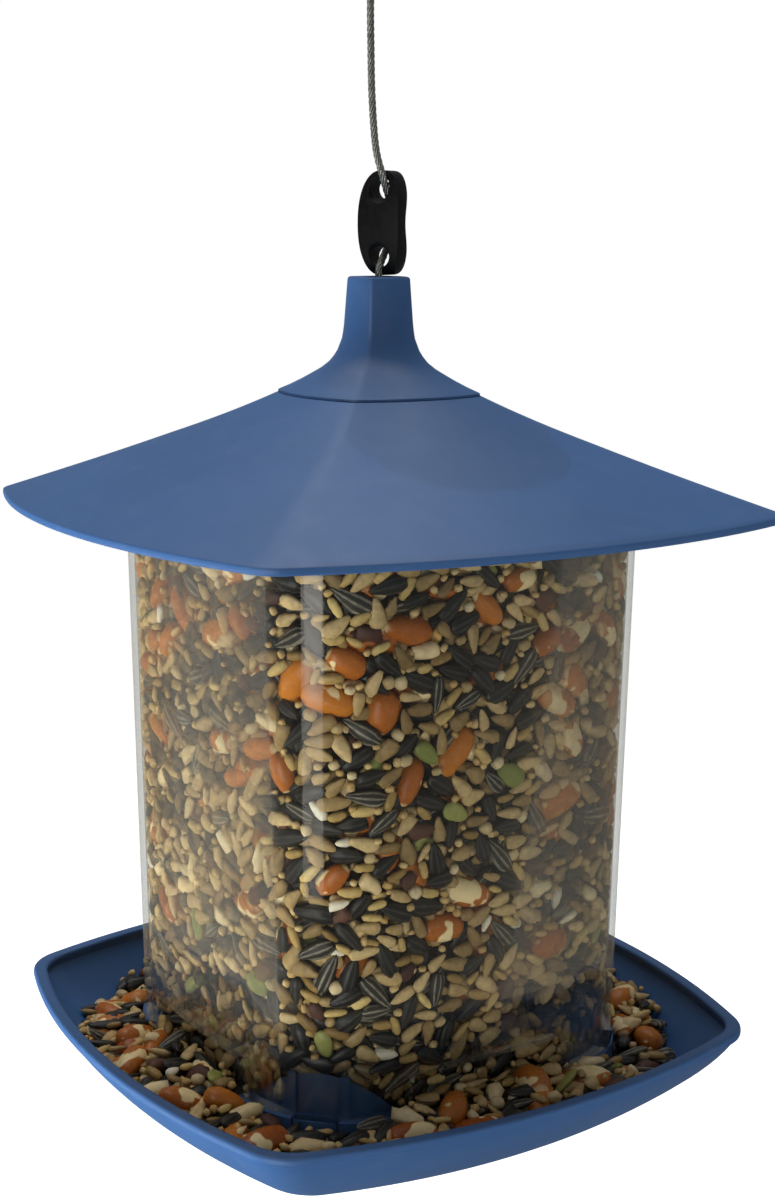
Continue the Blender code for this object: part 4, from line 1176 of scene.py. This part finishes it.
# %% Seed kinds
SEED_OF_CHANCE = 20
rng = np.random.default_rng(SEED_OF_CHANCE)
KINDS = {
    "peanut": dict(size=(0.0160, 0.0093, 0.0084), point=0.78, lean=0.10, rows=8, sides=12, rough=0.02),
    "raisin": dict(size=(0.0082, 0.0060, 0.0044), point=0.70, lean=0.05, rows=7, sides=9, rough=0.12),
    "nut_piece": dict(size=(0.0100, 0.0062, 0.0040), point=0.60, lean=0.15, rows=5, sides=7, rough=0.13),
    "pumpkin_seed": dict(size=(0.0098, 0.0062, 0.0024), point=0.85, lean=0.22, rows=7, sides=10,
                         rough=0.02),
    "striped_sunflower": dict(size=(0.0124, 0.0058, 0.0030), point=0.85, lean=0.40, rows=7, sides=8,
                              rough=0.05),
    "black_sunflower": dict(size=(0.0108, 0.0054, 0.0030), point=0.85, lean=0.40, rows=6, sides=8,
                            rough=0.05),
    "sunflower_heart": dict(size=(0.0086, 0.0046, 0.0022), point=0.80, lean=0.42, rows=6, sides=7,
                            rough=0.07),
    "grain": dict(size=(0.0068, 0.0032, 0.0024), point=0.70, lean=0.15, rows=5, sides=7, rough=0.06),
    "safflower": dict(size=(0.0066, 0.0036, 0.0029), point=0.75, lean=0.32, rows=5, sides=7, rough=0.05),
    "corn_chip": dict(size=(0.0054, 0.0044, 0.0034), point=0.45, lean=0.20, rows=4, sides=6, rough=0.16),
    "sorghum": dict(size=(0.0039, 0.0036, 0.0032), point=0.62, lean=0.05, rows=5, sides=7, rough=0.03),
    "millet": dict(size=(0.0027, 0.0023, 0.0022), point=0.55, lean=0.05, rows=4, sides=6, rough=0.03),
}


def seed_form(size, point, lean, rows, sides, rough):
    """Corners of one seed along X, its faces, and how far along and round each corner is."""
    length, width, thickness = size
    station = np.linspace(0.0, math.pi, rows + 1)[1:-1]
    along = -np.cos(station) / 2
    swell = np.sin(station) ** point * (1.0 - 2.0 * lean * along)
    swell /= swell.max()
    turn = np.linspace(0.0, 2 * math.pi, sides, endpoint=False)
    body = np.stack([np.repeat(along * length, sides),
                     np.outer(swell, np.cos(turn)).ravel() * width / 2,
                     np.outer(swell, np.sin(turn)).ravel() * thickness / 2], axis=1)
    corners = np.concatenate([[(-length / 2, 0.0, 0.0)], body, [(length / 2, 0.0, 0.0)]])
    last = len(corners) - 1
    faces = []
    for side in range(sides):
        after = (side + 1) % sides
        faces.append((0, 1 + after, 1 + side))
        for row in range(rows - 2):
            low, high = 1 + row * sides, 1 + (row + 1) * sides
            faces.append((low + side, low + after, high + after, high + side))
        low = 1 + (rows - 2) * sides
        faces.append((low + side, low + after, last))
    share = np.concatenate([[0.0], np.repeat(along + 0.5, sides), [1.0]])
    angle = np.concatenate([[0.0], np.tile(np.cos(turn), rows - 1), [0.0]])
    return corners, faces, share, angle


FORMS = {name: seed_form(**kind) for name, kind in KINDS.items()}
print("faces of one seed", {name: len(form[1]) for name, form in FORMS.items()})

# %% [markdown]
# ### Finding room
#
# `scatter` works on a grid of small cells that starts with the room there is. It throws seeds of the
# largest kind first and keeps each one that lands mostly on free cells, so small kinds end up in the
# gaps, as they do when a bag is shaken. The grid may be the heap seen from above, or the hopper's wall
# unrolled, where the left edge meets the right.

# %% Scatter
CELL = 0.0003
ANGLES = 30
ANGLE_SPREAD = 0.24
TRIES = 26
OVERLAP = 0.14
UNSEEN = 0.93


def stamp(length, width, angle):
    """The cells under an ellipse, as steps from its middle."""
    reach = int(length / 2 / CELL) + 1
    steps = np.arange(-reach, reach + 1) * CELL
    u, v = np.meshgrid(steps, steps, indexing="ij")
    along = u * math.cos(angle) + v * math.sin(angle)
    across = v * math.cos(angle) - u * math.sin(angle)
    return np.argwhere((along / length) ** 2 + (across / width) ** 2 < 0.25) - reach


STAMPS = {name: [stamp(*kind["size"][:2], math.pi * step / ANGLES) for step in range(ANGLES)]
          for name, kind in KINDS.items()}


def scatter(taken, cover, hidden=None, fits=None):
    """Spots (kind, u, v, angle) for seeds that cover given shares of the free cells."""
    free_area = np.count_nonzero(~taken) * CELL ** 2
    spots = []
    for name, share in cover.items():
        length, width = KINDS[name]["size"][:2]
        goal = share * free_area / (math.pi / 4 * length * width)
        free = np.argwhere(~taken)
        kept = 0
        for _ in range(int(goal * TRIES)):
            if kept >= goal:
                break
            u, v = free[rng.integers(len(free))]
            step = int(round(rng.normal(0.0, ANGLES * ANGLE_SPREAD))) % ANGLES
            if fits and not fits(name, u * CELL, v * CELL):
                continue
            cells = STAMPS[name][step] + (u, v)
            across, up = cells[:, 0] % taken.shape[0], cells[:, 1]
            if up.min() < 0 or up.max() >= taken.shape[1] or taken[across, up].mean() > OVERLAP:
                continue
            taken[across, up] = True
            kept += 1
            if hidden is None or not hidden[across, up].mean() > UNSEEN:
                spots.append((name, u * CELL, v * CELL, math.pi * step / ANGLES))
    return spots


# %% [markdown]
# ### Standing a seed in its place
#
# A spot becomes a seed when it gets a size of its own, a little roughness and a tilt. Its corners are
# then known, so it can be pushed until it just touches the wall, which is how seed in a clear tube
# looks: pressed flat against it.

# %% Seed corners
WALL_AIR = 0.0003
SIZE_SPREAD = 0.11
SHAPE_SPREAD = 0.08
SMALLEST, LARGEST = 0.75, 1.2


def tilted(count, spread):
    """Small turns about the two flat axes of each seed, as matrices."""
    lean, roll = rng.normal(0.0, spread, (2, count))
    turns = np.zeros((count, 3, 3))
    turns[:, 0, 0] = np.cos(lean)
    turns[:, 0, 2] = np.sin(lean)
    turns[:, 1, 0] = np.sin(roll) * np.sin(lean)
    turns[:, 1, 1] = np.cos(roll)
    turns[:, 1, 2] = -np.sin(roll) * np.cos(lean)
    turns[:, 2, 0] = -np.cos(roll) * np.sin(lean)
    turns[:, 2, 1] = np.sin(roll)
    turns[:, 2, 2] = np.cos(roll) * np.cos(lean)
    return turns


def seed_corners(name, angle, frames, spread):
    """Corners of many seeds of a kind about their middles. frames hold two flat axes and a normal."""
    corners = FORMS[name][0]
    count = len(angle)
    size = rng.normal(1.0, SIZE_SPREAD, (count, 1, 1)) * rng.normal(1.0, SHAPE_SPREAD, (count, 1, 3))
    flip = rng.choice([-1.0, 1.0], count)
    shape = corners * np.clip(size, SMALLEST, LARGEST)
    shape = shape * (1.0 + KINDS[name]["rough"] * rng.normal(0.0, 1.0, (count, len(corners), 1)))
    along = np.stack([flip * np.cos(angle), flip * np.sin(angle), np.zeros(count)], axis=1)
    flat = np.stack([-along[:, 1], along[:, 0], np.zeros(count)], axis=1)
    own = np.stack([along, flat, np.tile((0.0, 0.0, 1.0), (count, 1))], axis=2)
    turned = np.einsum("nij,njk,nvk->nvi", own, tilted(count, spread), shape)
    return np.einsum("nij,nvj->nvi", frames, turned)


def inner_distance(x, y, height):
    """How far points lie outside the hopper's inner face at their heights."""
    outer = hopper_half(height)
    inner = outer - HOPPER_WALL
    return plan_distance(x, y, inner, (HOPPER_BOW * outer - HOPPER_WALL) / inner,
                         (HOPPER_CORNER * outer - HOPPER_WALL) / inner)


seat_run = leg_centre * math.sqrt(2) + face_radius


def over_seats(points):
    """How high points stand over the seats' slopes, or a large number away from the corners."""
    x, y, height = abs(points[..., 0]), abs(points[..., 1]), points[..., 2] - RIM_Z
    slope = SEAT_PEAK_Z - SEAT_SLOPE * np.maximum(0.0, seat_run - (x + y) / math.sqrt(2))
    return np.where(np.minimum(x, y) > PORT_HALF - WALL_AIR, height - slope, 1.0)


seeds_in = {"hopper": {name: [] for name in KINDS}, "tray": {name: [] for name in KINDS}}


def grouped(spots):
    """The spots of each kind, as arrays."""
    for name in KINDS:
        chosen = [spot[1:] for spot in spots if spot[0] == name]
        if chosen:
            yield name, *np.array(chosen).T


# %% [markdown]
# ### Seed behind the clear wall
#
# The wall is unrolled over half a turn, three layers deep, and the other half is the same pattern
# turned round. A deeper seed is kept only where it shows between the ones in front. Shaking brings
# the largest pieces up, so peanuts are more frequent near the top.

# %% Wall layers
SEED_TOP_Z = 0.1600
SEED_FOOT_Z = LEDGE_Z
LAYER_DEPTHS = (0.0, 0.0019, 0.0038)
LAYER_TILTS = (0.14, 0.30, 0.40)
PEANUTS_LOW = 0.16
PEANUT_CROWDING = 2.5
SEAT_DROP = 0.004
WALL_COVER = {"peanut": 0.120, "raisin": 0.022, "nut_piece": 0.024, "pumpkin_seed": 0.012,
              "striped_sunflower": 0.055, "black_sunflower": 0.220, "sunflower_heart": 0.260,
              "grain": 0.130, "safflower": 0.050, "corn_chip": 0.020, "sorghum": 0.040, "millet": 0.035}

turn_line = hopper_ring(SEED_TOP_Z / 2, HOPPER_WALL)[:, :2]
turn_line = np.vstack([turn_line, turn_line[:1]])
turn_along = np.concatenate([[0.0], np.cumsum(np.linalg.norm(np.diff(turn_line, axis=0), axis=1))])
HALF_TURN = turn_along[-1] / 2
turn_ahead = np.gradient(turn_line, axis=0)
turn_ahead[0] = turn_ahead[-1] = (0.0, 1.0)
turn_ahead /= np.linalg.norm(turn_ahead, axis=1)[:, None]


def more_peanuts_above(name, along, up):
    """Whether a seed may lie at this height: any kind may, but peanuts only by a chance that grows."""
    share = (up + SEED_FOOT_Z) / SEED_TOP_Z
    chance = PEANUTS_LOW + (1.0 - PEANUTS_LOW) * share ** PEANUT_CROWDING if share >= 0.0 else 0.0
    return name != "peanut" or rng.random() < chance


shape = (round(HALF_TURN / CELL), round((SEED_TOP_Z - SEED_FOOT_Z) / CELL))
covered = np.zeros(shape, bool)
for depth, tilt in zip(LAYER_DEPTHS, LAYER_TILTS):
    taken = np.zeros(shape, bool)
    spots = scatter(taken, WALL_COVER, covered if depth else None, more_peanuts_above)
    covered |= taken
    for name, along, up, angle in grouped(spots):
        height = up + SEED_FOOT_Z
        ahead = np.stack([np.interp(along, turn_along, turn_ahead[:, axis]) for axis in (0, 1)], axis=1)
        ahead /= np.linalg.norm(ahead, axis=1)[:, None]
        level = np.zeros(len(along))
        outward = np.stack([ahead[:, 1], -ahead[:, 0], level], axis=1)
        frames = np.stack([np.column_stack([ahead, level]), np.tile((0.0, 0.0, 1.0), (len(along), 1)),
                           outward], axis=2)
        middle = np.stack([np.interp(along, turn_along, turn_line[:, axis]) for axis in (0, 1)]
                          + [height + RIM_Z], axis=1)
        corners = seed_corners(name, angle, frames, tilt) + middle[:, None]
        for _ in range(3):
            reach = inner_distance(corners[..., 0], corners[..., 1], corners[..., 2] - RIM_Z).max(axis=1)
            corners -= (reach + depth + WALL_AIR)[:, None, None] * outward[:, None]
        sunk = np.minimum(0.0, over_seats(corners).min(axis=1) - 2 * WALL_AIR)
        corners[..., 2] -= sunk[:, None]
        corners = corners[sunk > -SEAT_DROP]
        seeds_in["hopper"][name] += [corners, corners * (-1.0, -1.0, 1.0)]
print("seeds behind the wall",
      {name: sum(len(group) for group in groups) for name, groups in seeds_in["hopper"].items()})

# %% [markdown]
# ### The heaps
#
# Two heaps are seen from above: the top of the seed in the hopper, when the roof is off, and the ring
# of seed in the tray, which has run out through the ports. Both are thrown in plan, the tray's in
# three layers, and each seed is set down on the heap's surface. It is fullest at the ports and falls
# towards the brim. The legs hold the seed back, so it is lower at the corners, where the seats show,
# and only the corner where birds have fed the least is still full to the brim.

# %% Heaps
PLAN_REACH = 0.1050
HEAP_AT = (0.0, 0.45, 1.0)
HEAP_Z = (-0.0024, -0.0040, -0.0078)
LEG_FALL = 0.0078
BRIM_FALL = 0.0090
HEAP_LAYER_DROP = 0.0020
HEAP_TILT = 0.30
HEAP_AIR = 0.0004
LEG_AIR = 0.0006
HEAP_COVER = {"peanut": 0.190, "raisin": 0.030, "nut_piece": 0.045, "pumpkin_seed": 0.010,
              "striped_sunflower": 0.050, "black_sunflower": 0.230, "sunflower_heart": 0.170,
              "grain": 0.100, "safflower": 0.050, "corn_chip": 0.020, "sorghum": 0.040, "millet": 0.030}
inside_half = np.array([point.x for point in inside][::-1])
inside_z = np.array([point.y for point in inside][::-1])

steps = np.arange(-PLAN_REACH, PLAN_REACH, CELL)
plan_x, plan_y = np.meshgrid(steps, steps, indexing="ij")


def brim_distance(x, y, height):
    """How far points lie outside the tray's inner face at their heights."""
    half = np.interp(height, inside_z, inside_half)
    return plan_distance(x, y, half, TRAY_BOW, TRAY_CORNER)


def leg_distance(x, y):
    """How far points lie outside the round room of a leg and its ledge."""
    x, y = abs(x), abs(y)
    away = np.hypot(x - leg_centre, y - leg_centre) - leg_radius - SEAT_MARGIN
    return np.where(np.minimum(x, y) > PORT_HALF - 0.0010, away, 1.0)


def heap_height(x, y):
    """Height of the tray's heap over the rim: full at the ports, lower at the legs and most corners."""
    out = np.maximum(0.0, inner_distance(x, y, LEDGE_Z))
    back = np.maximum(0.0001, -brim_distance(x, y, HEAP_Z[-1]))
    part = out / (out + back)
    near, far = np.minimum(abs(x), abs(y)), np.maximum(abs(x), abs(y))
    cornered = np.clip((near / np.maximum(far, 1e-6) - 0.35) / 0.45, 0.0, 1.0) ** 1.5
    picked = np.clip((x + y + 0.105) / 0.060, 0.0, 1.0)
    fall = cornered * np.interp(part, (0.0, 0.35, 1.0), (1.0, 0.6, 0.0)) * LEG_FALL
    return np.interp(part, HEAP_AT, HEAP_Z) - fall - cornered * picked * part * BRIM_FALL


def lay_heap(room, surface, layers):
    """Seeds of each kind on a surface over the free cells of a room, with their middles in plan."""
    covered = np.zeros(room.shape, bool)
    for sunk in range(layers):
        taken = ~room
        spots = scatter(taken, HEAP_COVER, covered if sunk else None)
        covered |= taken
        for name, u, v, angle in grouped(spots):
            x, y = u - PLAN_REACH, v - PLAN_REACH
            frames = np.tile(np.eye(3), (len(u), 1, 1))
            corners = seed_corners(name, angle, frames, HEAP_TILT)
            top = corners[..., 2].max(axis=1)
            height = surface(x, y) + RIM_Z - sunk * HEAP_LAYER_DROP
            height = height - (0.6 if name == "peanut" else 0.85) * top
            corners += np.stack([x, y, height], axis=1)[:, None]
            yield name, corners, np.stack([x, y], axis=1)


tray_room = ((inner_distance(plan_x, plan_y, LEDGE_Z) > HEAP_AIR)
             & (leg_distance(plan_x, plan_y) > LEG_AIR)
             & (brim_distance(plan_x, plan_y, heap_height(plan_x, plan_y)) < -HEAP_AIR))
for name, corners, middle in lay_heap(tray_room, heap_height, 3):
    inward = -middle / np.linalg.norm(middle, axis=1)[:, None]
    for _ in range(3):
        x, y, height = np.moveaxis(corners, 2, 0)
        over_brim = np.maximum(0.0, brim_distance(x, y, height - RIM_Z).max(axis=1) + WALL_AIR)
        corners[..., :2] += (over_brim[:, None] * inward)[:, None]
        under_leg = np.maximum(0.0, 2 * WALL_AIR - leg_distance(x, y).min(axis=1))
        corners[..., :2] -= (under_leg[:, None] * inward)[:, None]
    clear_of_both = (leg_distance(corners[..., 0], corners[..., 1]).min(axis=1) > 0.0) & (
        brim_distance(corners[..., 0], corners[..., 1], corners[..., 2] - RIM_Z).max(axis=1) < 0.0)
    seeds_in["tray"][name].append(corners[clear_of_both])

ROPE_ROOM = 0.0030
WALL_ROOM = 0.0030
top_room = ((inner_distance(plan_x, plan_y, SEED_TOP_Z) < -WALL_ROOM)
            & (np.hypot(plan_x, plan_y) > ROPE_ROOM))
for name, corners, middle in lay_heap(top_room, lambda x, y: SEED_TOP_Z + 0 * x, 1):
    x, y, height = np.moveaxis(corners, 2, 0)
    clear_of_both = (inner_distance(x, y, height - RIM_Z).max(axis=1) < -WALL_AIR) & (
        np.hypot(x, y).min(axis=1) > ROPE_ROOM - 0.0010)
    seeds_in["hopper"][name].append(corners[clear_of_both])

# %% [markdown]
# ### From corners to pieces
#
# All seeds of one kind in one place become one mesh. Each seed keeps three numbers for its finish: a
# tint of its own, how far along it a point is, and how far round. They are stored as attributes on the
# mesh, which a material can read as easily as a texture.

# %% Seed pieces
seed_pieces = {name: [] for name in KINDS}
for place, body, node in (("hopper", "hopper", "hopper_seed"), ("tray", "hanger_and_tray", "tray_seed")):
    for name, groups in seeds_in[place].items():
        corners, faces, share, angle = FORMS[name]
        seeds = np.concatenate(groups)
        count, size = len(seeds), len(corners)
        all_faces = []
        for kind_of_face in (3, 4):
            some = np.array([face for face in faces if len(face) == kind_of_face])
            shifted = some[None] + (np.arange(count) * size)[:, None, None]
            all_faces += shifted.reshape(-1, kind_of_face).tolist()
        mesh = bpy.data.meshes.new(f"{place}_{name}")
        mesh.from_pydata(seeds.reshape(-1, 3).tolist(), [], all_faces)
        for label, values in (("tint", np.repeat(rng.random(count), size)), ("along", np.tile(share, count)),
                              ("around", np.tile(angle, count))):
            mesh.attributes.new(label, "FLOAT", "POINT").data.foreach_set("value", values.astype(np.float32))
        piece = bpy.data.objects.new(mesh.name, mesh)
        scene.collection.objects.link(piece)
        mesh.shade_smooth()
        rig.ride(piece, body)
        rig.replaces(piece, node)
        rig.slot(piece, "mixed_seed")
        seed_pieces[name].append(piece)
all_seeds = [group for kinds in seeds_in.values() for groups in kinds.values() for group in groups]
print("seeds", sum(len(group) for group in all_seeds),
      "faces", sum(len(piece.data.polygons) for pieces in seed_pieces.values() for piece in pieces))

# %% [markdown]
# ### The bed under the seeds
#
# Behind the last layer lies a rough bed, so that no gap shows the empty middle. Its dark colour is
# painted shade, the shade deep among the seeds, and the gaps between its lumps are painted darker still.
# It is a ring in the tray and a block with a bore for the rope in the hopper, drawn a few millimetres
# inside the seeds' surface.

# %% Beds
BED_DEPTH = 0.0062
BORE = 0.0030
BED_FOOT_Z = -0.0035
bed_rings = [round_ring(BORE, SEED_TOP_Z - 0.0060),
             hopper_ring(SEED_TOP_Z - 0.0060, HOPPER_WALL + 2 * BED_DEPTH),
             hopper_ring(SEED_TOP_Z - 0.0090, HOPPER_WALL + BED_DEPTH),
             hopper_ring(0.0120, HOPPER_WALL + BED_DEPTH), hopper_ring(BED_FOOT_Z, HOPPER_WALL + 0.0110),
             round_ring(0.0260, BED_FOOT_Z), round_ring(0.0110, 0.0125), round_ring(BORE, 0.0130)]
hopper_bed = skin("hopper_seed_bed", bed_rings)
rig.ride(hopper_bed, "hopper")
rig.replaces(hopper_bed, "hopper_seed")

TRAY_BED_DROP = 0.0048
TRAY_BED_FOOT_Z = -0.0245
TRAY_BED_MIDDLE_Z = -0.0230
BED_AIR = 0.0012
bed_in = hopper_half(LEDGE_Z) - HOPPER_WALL + 0.0006
inner_ring = plan_ring(bed_in, 0.0, HOPPER_BOW, HOPPER_CORNER)
outer_z = np.full(len(inner_ring), HEAP_Z[-1] - TRAY_BED_DROP)


def wall_ring(height):
    """A ring just inside the tray's wall, at a height of its own for each of its points."""
    half = np.interp(height, inside_z, inside_half) - BED_AIR
    plan = np.array([bowed_square(one, TRAY_BOW, TRAY_CORNER)[index] for index, one in enumerate(half)])
    return np.column_stack([plan, height + RIM_Z])


for _ in range(6):
    edge = wall_ring(outer_z)
    outer_z = 0.5 * (outer_z + heap_height(edge[:, 0], edge[:, 1]) - TRAY_BED_DROP)
bed_rings = [plan_ring(bed_in, TRAY_BED_MIDDLE_Z, HOPPER_BOW, HOPPER_CORNER)]
for part in np.linspace(0.0, 1.0, 6)[:-1]:
    ring = inner_ring + (wall_ring(outer_z) - inner_ring) * part
    ring[:, 2] = heap_height(ring[:, 0], ring[:, 1]) - TRAY_BED_DROP + RIM_Z
    bed_rings.append(ring)
for part in np.linspace(0.0, 1.0, 5):
    bed_rings.append(wall_ring(outer_z + (TRAY_BED_FOOT_Z - outer_z) * part))
tray_bed = skin("tray_seed_bed", bed_rings)
rooms = []
for x, y in ((-1, -1), (-1, 1), (1, -1), (1, 1)):
    room = drum("leg room", leg_radius + SEAT_MARGIN + 0.0006, -0.0400, 0.0200,
                (x * leg_centre, y * leg_centre))
    carve(room, [block("quarter", (0.2, 0.2, 0.2), Matrix.Translation(
        (x * (PORT_HALF + 0.0994), y * (PORT_HALF + 0.0994), RIM_Z)))], "INTERSECT")
    rooms.append(room)
carve(tray_bed, rooms)
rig.ride(tray_bed, "hanger_and_tray")
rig.replaces(tray_bed, "tray_seed")
for bed in (hopper_bed, tray_bed):
    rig.slot(bed, "mixed_seed")

# %% [markdown]
# ### Seed finishes
#
# One function makes all the finishes: a ramp of colours picked by each seed's own tint, mottled by
# noise, with stripes round the sunflower seeds and pale worn patches on the peanuts.

# %% Seed materials
def seed_finish(name, colours, gloss, mottle=0.25, relief=0.00008, stripe=None, patch=None):
    """The finish of one kind of seed, given to its pieces. gloss is its middle roughness."""
    finish = Finish(name, IOR=1.45)
    tint = finish.attribute("tint")
    base = finish.ramp(tint, *[(index / max(1, len(colours) - 1), colour)
                               for index, colour in enumerate(colours)])
    cloud = finish.noise(520.0, 4.0, 0.6)
    base = finish.mix(finish.span(cloud, 0.0, mottle, 0.35, 0.75), base, (0.02, 0.014, 0.01, 1.0))
    if stripe:
        bands = finish.math("SINE", finish.math("MULTIPLY", finish.attribute("around"), 9.0), 0.0)
        strength = finish.math("MULTIPLY", finish.span(bands, 0.0, 1.0, 0.1, 0.9),
                               finish.span(cloud, 0.3, 1.0, 0.3, 0.6))
        base = finish.mix(strength, base, (*stripe, 1.0))
    if patch:
        worn = finish.span(finish.noise(95.0, 2.0, 0.5), 0.0, 1.0, 0.585, 0.605)
        tips = finish.span(finish.attribute("along"), 0.0, 1.0, 0.93, 0.99)
        base = finish.mix(finish.math("MAXIMUM", worn, tips), base, (*patch, 1.0))
    finish.feed(finish.shader, {
        "Base Color": base, "Roughness": finish.span(cloud, gloss - 0.08, gloss + 0.10, 0.3, 0.7),
        "Normal": finish.bump(finish.noise(1500.0, 4.0, 0.65), relief, 0.6)})
    finish.dress(*seed_pieces[name])


seed_finish("peanut", [(0.33, 0.075, 0.010), (0.55, 0.180, 0.016), (0.40, 0.108, 0.012)], 0.28, 0.20,
            0.00014, patch=(0.86, 0.68, 0.36))
seed_finish("raisin", [(0.060, 0.022, 0.016), (0.120, 0.050, 0.030)], 0.50, 0.3, 0.0003)
seed_finish("nut_piece", [(0.74, 0.54, 0.26), (0.88, 0.72, 0.42)], 0.50)
seed_finish("pumpkin_seed", [(0.18, 0.21, 0.045), (0.36, 0.36, 0.10)], 0.42)
seed_finish("striped_sunflower", [(0.018, 0.016, 0.013), (0.040, 0.036, 0.029)], 0.46,
            stripe=(0.26, 0.235, 0.17))
seed_finish("black_sunflower", [(0.005, 0.005, 0.005), (0.013, 0.012, 0.010)], 0.40,
            stripe=(0.045, 0.041, 0.034))
seed_finish("sunflower_heart", [(0.23, 0.143, 0.050), (0.45, 0.300, 0.120), (0.72, 0.525, 0.250)],
            0.48, 0.40)
seed_finish("grain", [(0.24, 0.140, 0.036), (0.50, 0.330, 0.105), (0.72, 0.53, 0.20)], 0.44, 0.35)
seed_finish("safflower", [(0.78, 0.70, 0.50), (0.92, 0.88, 0.74)], 0.32, 0.10)
seed_finish("corn_chip", [(0.74, 0.38, 0.05), (0.86, 0.66, 0.28)], 0.44)
seed_finish("sorghum", [(0.28, 0.17, 0.06), (0.50, 0.36, 0.16), (0.76, 0.62, 0.36)], 0.40)
seed_finish("millet", [(0.52, 0.32, 0.10), (0.72, 0.52, 0.23)], 0.38)

# The bed's colour is painted shade: dark brown for the shade deep among the seeds, and darker still in the gaps between
# the Voronoi lumps, which the bump sets lower.
bed_painted_shade = Finish("seed_bed", Roughness=0.75)
lumps = bed_painted_shade.add("ShaderNodeTexVoronoi", {"Vector": bed_painted_shade.place, "Scale": 300.0})
bed_painted_shade.feed(bed_painted_shade.shader, {
    "Base Color": bed_painted_shade.ramp(lumps.outputs["Distance"], (0.05, (0.10, 0.070, 0.040)),
                                  (0.6, (0.012, 0.009, 0.007))),
    "Normal": bed_painted_shade.bump(bed_painted_shade.math("MULTIPLY", lumps.outputs["Distance"], -1.0), 0.0015, 1.0)})
bed_painted_shade.dress(hopper_bed, tray_bed)

# %% [markdown]
# ## Studio
#
# Plain soft light. A broad softbox overhead gives the roof its even sheen, and low ones reach the seed
# under the roof. Two are there to be mirrored only: a tall strip runs down the hopper's front corner
# and the neck as a reflection, and a dim panel on the left makes that side of the clear wall a little
# milky. The low ones would spoil the clear wall, so they are hidden from mirror rays, and so is a good
# half of the light from overhead, which keeps the roof's sheen soft. The paper behind is pure white, so
# the world is white where the camera looks straight at it, and a much dimmer grey for the rest.

# %% Softboxes
def softbox(name, azimuth, height, distance, size, power, target=(0.0, 0.0, -0.33),
            mirrored=True, lights=True):
    """A panel of light at an azimuth from the view, in degrees to the left, facing the feeder."""
    data = bpy.data.lights.new(name, "AREA")
    data.shape = "RECTANGLE"
    data.size, data.size_y = size
    data.energy = power
    lamp = bpy.data.objects.new(name, data)
    scene.collection.objects.link(lamp)
    turn = CAMERA_AZIMUTH - math.radians(azimuth)
    lamp.location = (math.sin(turn) * distance, -math.cos(turn) * distance, height)
    aim = Vector(target) - lamp.location
    lamp.rotation_euler = aim.to_track_quat("-Z", "Y").to_euler()
    lamp.visible_glossy = mirrored
    lamp.visible_diffuse = lights
    lamp.visible_camera = False
    return lamp


MIDDLE = (0.0, 0.0, -0.38)
softbox("overhead", 150.0, 1.10, 0.30, (1.50, 1.50), 13.5)
softbox("overhead flagged", 150.0, 1.10, 0.30, (1.50, 1.50), 17.5, mirrored=False)
softbox("panel left", 84.0, -0.72, 1.10, (1.90, 0.70), 0.5, (0.0, 0.0, -0.55), lights=False)
softbox("low left", 84.0, -0.66, 0.85, (0.60, 0.30), 16.5, MIDDLE, mirrored=False)
softbox("strip left", 27.0, -0.34, 1.20, (0.38, 0.86), 5.0, (0.0, 0.0, -0.34), lights=False)
softbox("low front", 10.0, -0.66, 0.75, (0.40, 0.24), 3.4, MIDDLE, mirrored=False)
softbox("low right", -70.0, -0.60, 0.95, (0.60, 0.30), 2.6, MIDDLE, mirrored=False)
softbox("edge right", -36.0, -0.14, 1.30, (0.10, 0.30), 0.35, (0.0, 0.0, -0.14))

WORLD_LEVEL = 0.16
world = bpy.data.worlds.new("paper sweep")
scene.world = world
world.use_nodes = True
sky = world.node_tree
background = sky.nodes["Background"]
background.inputs["Color"].default_value = (1.0, 1.0, 1.0, 1.0)
seen = sky.nodes.new("ShaderNodeLightPath").outputs["Is Camera Ray"]
level = sky.nodes.new("ShaderNodeMapRange")
level.inputs["To Min"].default_value = WORLD_LEVEL
level.inputs["To Max"].default_value = 1.0
sky.links.new(seen, level.inputs["Value"])
sky.links.new(level.outputs["Result"], background.inputs["Strength"])
scene.view_settings.view_transform = "Standard"

# %% [markdown]
# The floor is pale paper, far enough below that it catches no shadow. Paper this bright would light
# the underside of everything and mirror in the clear wall, which the photograph doesn't show: there
# the paper was flagged off. Ray visibility does the same here.

# %% Floor
PAPER_Z = -1.05
PAPER_HALF = 6.0
PAPER_THICKNESS = 0.02
corners = [(-PAPER_HALF, -PAPER_HALF), (PAPER_HALF, -PAPER_HALF), (PAPER_HALF, PAPER_HALF),
           (-PAPER_HALF, PAPER_HALF)]
floor = skin("studio_floor", [[(x, y, PAPER_Z - drop) for x, y in corners]
                              for drop in (PAPER_THICKNESS, 0.0)], closed=False)
paper = Finish("white_paper", Roughness=0.8)
paper.feed(paper.shader, {
    "Base Color": paper.ramp(paper.noise(3.0, 2.0), (0.3, (0.90, 0.90, 0.90)), (0.7, (0.93, 0.93, 0.93))),
    "Emission Color": (1.0, 1.0, 1.0, 1.0), "Emission Strength": 0.85})
paper.dress(floor)
floor.visible_glossy = False
floor.visible_diffuse = False
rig.stage(floor)

# %% [markdown]
# ## Finish
#
# The last cell measures the dressed feeder beside the imported one, writes both boxes to extents.json
# and prints them.

# %% Measure
dressed_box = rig.bounds()
with open("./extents.json", "w") as record:
    json.dump({"packed": [list(corner) for corner in packed_box],
               "dressed": [list(corner) for corner in dressed_box]}, record)
print("packed", packed_box, "dressed", dressed_box)
